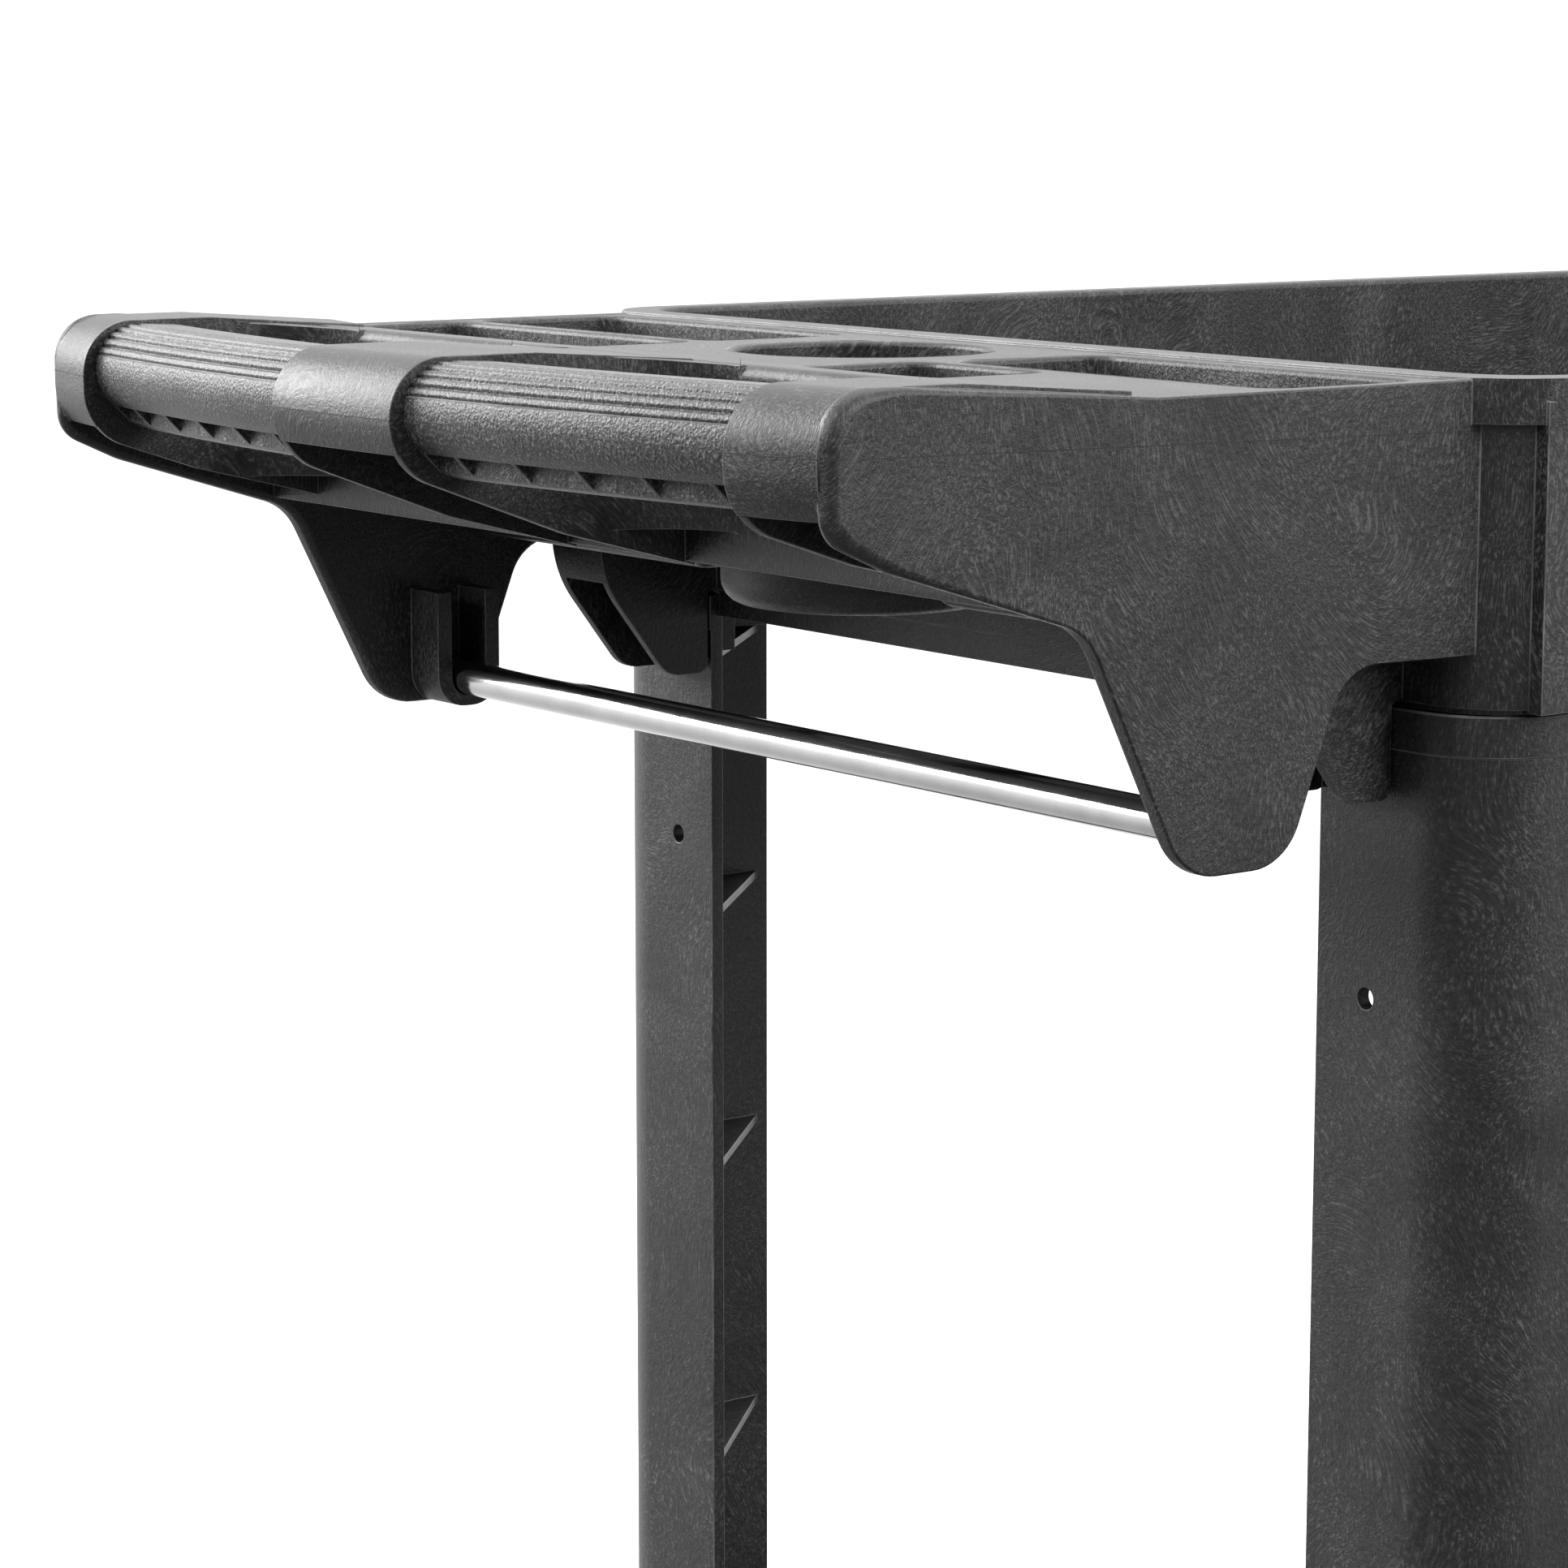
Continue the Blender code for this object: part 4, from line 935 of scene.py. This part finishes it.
def make_parting_lines():
    """The moulds' fine dark joint line along both arms and across the handle's front."""
    proud, sunk, height = 0.00003, 0.00050, 0.00026
    level = RIM_Z - 0.0118
    strips = []
    for side in (-1, 1):
        strips.append(strip([((x, side * (ARM_Y + proud)), (x, side * (ARM_Y - sunk)), z) for x, z in
                             ((EAR_X - 0.1310, RIM_Z - 0.0120), (EAR_X + 0.1040, RIM_Z - 0.0156))], height))
    # Each span of the front: its limits along Y, and how far it stands behind the bowed line
    spans = [(-MIDDLE_NEAR, MIDDLE_FAR, 0.0)]
    spans += [(low, high, 0.0) for low, high in both_sides(END_BLOCK, ARM_Y - ARM_FRONT_EDGE)]
    for side in (-1, 1):
        inner, outer = grip_limits(side)
        spans.append((*sorted((side * inner, side * outer)), GRIP_SET + 0.00015))
    stations = 12
    for low, high, setback in spans:
        places = [low + (high - low) * step / stations for step in range(stations + 1)]
        fronts = [NOSE_X + setback + BOW * y ** 2 for y in places]
        strips.append(strip([((x - proud, y), (x + sunk, y), level) for x, y in zip(fronts, places)],
                            height))
    joined = bmesh.new()
    for shape in strips:
        part = bpy.data.meshes.new("strip")
        shape.to_mesh(part)
        shape.free()
        joined.from_mesh(part)
        bpy.data.meshes.remove(part)
    lines = mesh_piece("parting_lines", joined)
    finish_with(lines, "resin", SEAM)
    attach(lines, CART)


def make_top_shelf():
    """The top shelf's moulding, and the two grips as pieces with their own surface."""
    low = RIM_Z - SKIRT_DROP
    floor = RIM_Z - FLOOR_DROP
    neck = corner_blocks(0.0900, 0.1600, LEG_SIDE - 0.0008, LEG_TOP + FIT, low + 0.01, 0.0255)
    plugs = leg_plugs(LEG_TOP - PLUG, low + 0.008)
    end_strip = box((TUB_X + 0.0040, TUB_X + 0.0090), (-LEG_INNER_Y, LEG_INNER_Y),
                    (RIM_Z - STRIP_DROP, low + 0.01))
    adds = tub_adds(low, RIM_Z) + neck + plugs + [end_strip] + handle_shapes() + tray_adds() + gussets()
    cuts = ([cavity(0.0140, floor, RIM_Z)] + tray_cuts() + bar_slots() + gusset_pockets()
            + underside_cells(TUB_X + 0.0150, low - 0.001, floor - FLOOR))
    shelf = fused("top_shelf_moulding", tub_core(low + 0.0010, RIM_Z - 0.0020),
                  [("UNION", adds), ("DIFFERENCE", cuts)])
    softened(shelf, SHELF_ROUND)
    finish_with(shelf, "resin", RESIN, EDGE_HIGHLIGHT)
    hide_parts("top_shelf")
    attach(shelf, CART)
    for side, side_name in ((-1, "near"), (1, "far")):
        inner, outer = grip_limits(side)
        grip_y = sorted((side * (inner - 0.0015), side * (outer + 0.0015)))
        whole = bowed(solid(grip_profile(), *grip_y, upright=True), stations=4)
        grip = fused("grip_" + side_name, whole, [("DIFFERENCE", grip_pockets(side))])
        softened(grip, SHELF_ROUND, angle=RIDGED_ANGLE)
        finish_with(grip, "resin", GRIP, EDGE_HIGHLIGHT)
        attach(grip, CART)


# Legs

def make_leg(name, end, side):
    """One leg: end is 0 at the handle and 1 at the far end, side is -1 near and 1 far."""
    body = leg_section(LEG_FACE + LEG_BAND, LEG_WALL - LEG_BAND)
    collar = leg_section(LEG_FACE)
    inner = LEG_FACE + LEG_WALL - 0.001
    inner_side = LEG_SIDE - LEG_WALL + 0.001
    thick = 0.0030
    web = [(inner, LEG_INNER_Y + 0.004), (inner, inner_side - 0.010), (inner + 0.010, inner_side),
           (LEG_DEPTH - 0.004, inner_side)]
    drops = [0.1200, 0.2142, 0.3093, 0.4207, 0.5180]
    heights = [RIM_Z - drop - thick for drop in drops] + [LEG_BOTTOM + PLUG + FIT]
    shapes = [solid(placed(web, end, side), height, height + thick) for height in heights]
    shapes.append(solid(placed(collar, end, side), LEG_TOP - COLLAR, LEG_TOP - 0.0001))
    shapes.append(solid(placed(collar, end, side), LEG_BOTTOM + 0.0001, LEG_BOTTOM + COLLAR))
    (hole_x, hole_y), (slot_x, slot_y) = placed([(LEG_FACE, 0.1777), (0.1276, LEG_SIDE)], end, side)
    hole = cylinder(0.0033, -0.012, 0.012, segments=32)
    lying = Matrix.Rotation(math.pi / 2, 4, "Y")
    bmesh.ops.transform(hole, verts=hole.verts,
                        matrix=Matrix.Translation((hole_x, hole_y, RIM_Z - 0.1871)) @ lying)
    slot_start, slot_end = slot_x - 0.0014, slot_x + 0.0014
    slot_low, slot_high, slot_corner = RIM_Z - 0.1342, RIM_Z - 0.1229, 0.0013
    slot = solid(fillet([(slot_start, slot_low, slot_corner), (slot_end, slot_low, slot_corner),
                         (slot_end, slot_high, slot_corner), (slot_start, slot_high, slot_corner)], 2),
                 *sorted((slot_y - side * 0.012, slot_y + side * 0.005)), upright=True)
    leg = fused(name + "_moulding", solid(placed(body, end, side), LEG_BOTTOM, LEG_TOP),
                [("UNION", shapes), ("DIFFERENCE", [hole, slot])])
    softened(leg, LEG_ROUND)
    # The legs take the lighter copy of the resin, whose extra lightness is painted light
    finish_with(leg, "resin", RESIN_LEG_PAINTED_LIGHT, EDGE_HIGHLIGHT)
    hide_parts(name)
    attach(leg, CART)


# Wheels

def turned(name, profile, centre, steps):
    """A closed profile (radius, place along Y) turned about an axle along Y."""
    bm = bmesh.new()
    count = len(profile)
    rings = []
    for step in range(steps):
        angle = 2 * math.pi * step / steps
        rings.append([bm.verts.new((centre[0] + radius * math.cos(angle), centre[1] + across,
                                    centre[2] + radius * math.sin(angle))) for radius, across in profile])
    for step in range(steps):
        for index in range(count):
            follow = (index + 1) % count
            bm.faces.new((rings[step][index], rings[step][follow],
                          rings[(step + 1) % steps][follow], rings[(step + 1) % steps][index]))
    bmesh.ops.recalc_face_normals(bm, faces=bm.faces)
    return mesh_piece(name, bm)


def mirrored(half):
    """A profile from its first half (radius, place along Y, corner), mirrored across the wheel."""
    return half + [(radius, -across, corner) for radius, across, corner in reversed(half)]


TREAD = mirrored([(0.0500, 0.0142, 0), (0.0575, 0.0158, 0.0020), (0.0615, 0.0135, 0.0045),
                  (WHEEL_RADIUS, 0.0085, 0.0080)])
HUB_PROFILE = mirrored([(0.0054, 0.0185, 0), (0.0130, 0.0185, 0.0008), (0.0150, 0.0060, 0.0030),
                        (0.0430, 0.0060, 0.0030), (0.0455, 0.0138, 0.0008), (0.0498, 0.0138, 0)])
HUB_RIBS = 6


def make_wheel(prefix, body, x, y):
    """A wheel's tread and hub in place of the CAD nodes, and the ribs between hub and rim."""
    centre = (x, y, WHEEL_RADIUS)
    for part, profile, slot, material, width in (("_tread", TREAD, "tread_rubber", RUBBER, WHEEL_ROUND),
                                                 ("_hub", HUB_PROFILE, "hub_plastic", HUB, STEEL_ROUND)):
        piece = turned(prefix + part + "_moulding", fillet(profile, 1), centre, 96)
        softened(piece, width, edge_slot=SAME_AS_FACES)
        finish_with(piece, slot, material)
        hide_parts(prefix + part)
        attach(piece, body)
    for index in range(HUB_RIBS):
        turn = Matrix.Rotation(2 * math.pi * (index + 0.5) / HUB_RIBS, 4, "Y")
        bm = box((0.0140, 0.0445), (-0.0118, 0.0118), (-0.0016, 0.0016), 0.0006, 1)
        bmesh.ops.transform(bm, verts=bm.verts, matrix=Matrix.Translation(centre) @ turn)
        rib = mesh_piece(prefix + "_rib_" + str(index + 1), bm)
        softened(rib, WHEEL_ROUND, edge_slot=SAME_AS_FACES)
        finish_with(rib, "hub_plastic", HUB)
        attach(rib, body)


make_top_shelf()
make_parting_lines()
for end, end_name in ((0, "handle"), (1, "far")):
    for side, side_name in ((-1, "near"), (1, "far")):
        make_leg("leg_" + end_name + "_end_" + side_name + "_side", end, side)
for side, side_name in ((-1, "near"), (1, "far")):
    make_wheel("swivel_caster_" + side_name, "swivel_wheel_" + side_name, SWIVEL_X - TRAIL,
               side * CASTER_Y)
    make_wheel("rigid_caster_" + side_name, "rigid_wheel_" + side_name, RIGID_X, side * CASTER_Y)

for name, part in frame["nodes"].items():
    if part.hide_render:
        continue
    if name == "hanging_bar":
        finish_with(part, "bar_steel", CHROME)
        softened(part, STEEL_ROUND, edge_slot=SAME_AS_FACES)
    elif name == "bottom_shelf":
        finish_with(part, "resin", RESIN, EDGE_HIGHLIGHT)
        softened(part, LOW_SHELF_ROUND)
    else:
        finish_with(part, "zinc_steel", ZINC)
        softened(part, STEEL_ROUND, edge_slot=SAME_AS_FACES)


# Camera, 0.93 m above the floor, looking down past the near end of the handle with a long lens

CAMERA_PLACE = (EAR_X - 0.8174, -1.1069, RIM_Z + 0.088)
CAMERA_HEADING = (0.595, 0.803)
CAMERA_PITCH = 9.29
CAMERA_LENS = 101.0


def place_camera():
    """The photo's view: heading in plan, pitch downwards in degrees, and lens in millimetres."""
    yaw = math.atan2(CAMERA_HEADING[1], CAMERA_HEADING[0])
    pitch = math.radians(CAMERA_PITCH)
    direction = Vector((math.cos(yaw) * math.cos(pitch), math.sin(yaw) * math.cos(pitch), -math.sin(pitch)))
    data = bpy.data.cameras.new("camera")
    data.sensor_width = 36.0
    data.lens = CAMERA_LENS
    data.clip_start = 0.05
    data.clip_end = 60.0
    camera = bpy.data.objects.new("camera", data)
    camera.location = CAMERA_PLACE
    camera.rotation_euler = direction.to_track_quat("-Z", "Y").to_euler()
    bpy.context.scene.collection.objects.link(camera)
    bpy.context.scene.camera = camera


# Studio: a pale floor, a white surround and large soft lights

# Name, place, the point that it faces, side of the square in metres, and watts
LIGHTS = (("back_left", (-1.6, 2.4, 1.9), (-0.40, 0.0, 0.80), 1.8, 105.0),
          ("left_side", (-2.8, 0.2, 2.2), (-0.3, 0.0, 0.5), 1.6, 38.0),
          ("overhead", (0.2, 0.3, 3.0), (0.0, 0.0, 0.5), 2.6, 30.0),
          ("near_side", (0.9, -2.6, 1.9), (0.0, -0.2, 0.6), 1.4, 50.0))

# The surround is brightest in this direction, as fill light and in reflections
BRIGHT_SIDE = (0.30, 0.40, 0.86)
FILL_STRENGTH = 1.9
SHINE_STRENGTH = 1.6
FLOOR_REACH = 60.0


def grey(value):
    return (value, value, value)


def make_lights():
    for name, place, aim, side, watts in LIGHTS:
        data = bpy.data.lights.new(name, "AREA")
        data.shape = "RECTANGLE"
        data.size = data.size_y = side
        data.energy = watts
        light = bpy.data.objects.new(name, data)
        light.location = place
        light.rotation_euler = (Vector(aim) - Vector(place)).to_track_quat("-Z", "Y").to_euler()
        bpy.context.scene.collection.objects.link(light)


def make_surround():
    """Pure white to the camera, and two gradients: one as fill light, one in reflections."""
    world = bpy.data.worlds.new("studio")
    bpy.context.scene.world = world
    graph = Graph(world)

    def glow(colour, strength):
        inputs = {"Color": colour, "Strength": strength}
        return graph.node("ShaderNodeBackground", inputs).outputs["Background"]

    def either(switch, first, second):
        return graph.node("ShaderNodeMixShader", {0: switch, 1: first, 2: second}).outputs["Shader"]

    graph.tree.nodes.remove(graph.tree.nodes["Background"])
    where = graph.node("ShaderNodeTexCoord").outputs["Generated"]
    facing = graph.node("ShaderNodeVectorMath", {0: where, 1: BRIGHT_SIDE},
                        operation="DOT_PRODUCT").outputs["Value"]
    share = graph.span(facing, -1.0, 1.0, 0.0, 1.0)
    fill = glow(graph.ramp(share, (0.36, grey(0.07)), (0.62, grey(0.45)), (0.86, grey(1.0))), FILL_STRENGTH)
    shine = glow(graph.ramp(share, (0.30, grey(0.20)), (0.80, grey(1.0))), SHINE_STRENGTH)
    seen = glow((*grey(1.0), 1.0), 1.0)
    path = graph.node("ShaderNodeLightPath").outputs
    lit = either(path["Is Glossy Ray"], fill, shine)
    surround = either(path["Is Camera Ray"], lit, seen)
    graph.tree.links.new(surround, graph.tree.nodes["World Output"].inputs["Surface"])


def make_floor():
    """A pale floor that takes the cart's shadow and doesn't show in its reflections."""
    bm = bmesh.new()
    bmesh.ops.create_grid(bm, x_segments=1, y_segments=1, size=FLOOR_REACH)
    floor = mesh_piece("floor", bm)
    graph = new_material("floor_paint")
    tone = graph.ramp(graph.noise(graph.place(), 3.0, 4.0), (0.3, grey(0.86)), (0.7, grey(0.90)))
    floor.data.materials.append(graph.plug(Base_Color=tone, Roughness=0.7))
    floor.visible_glossy = False
    floor.visible_diffuse = False
    floor.visible_shadow = False


place_camera()
make_lights()
make_surround()
make_floor()
bpy.context.scene.view_settings.view_transform = "Standard"
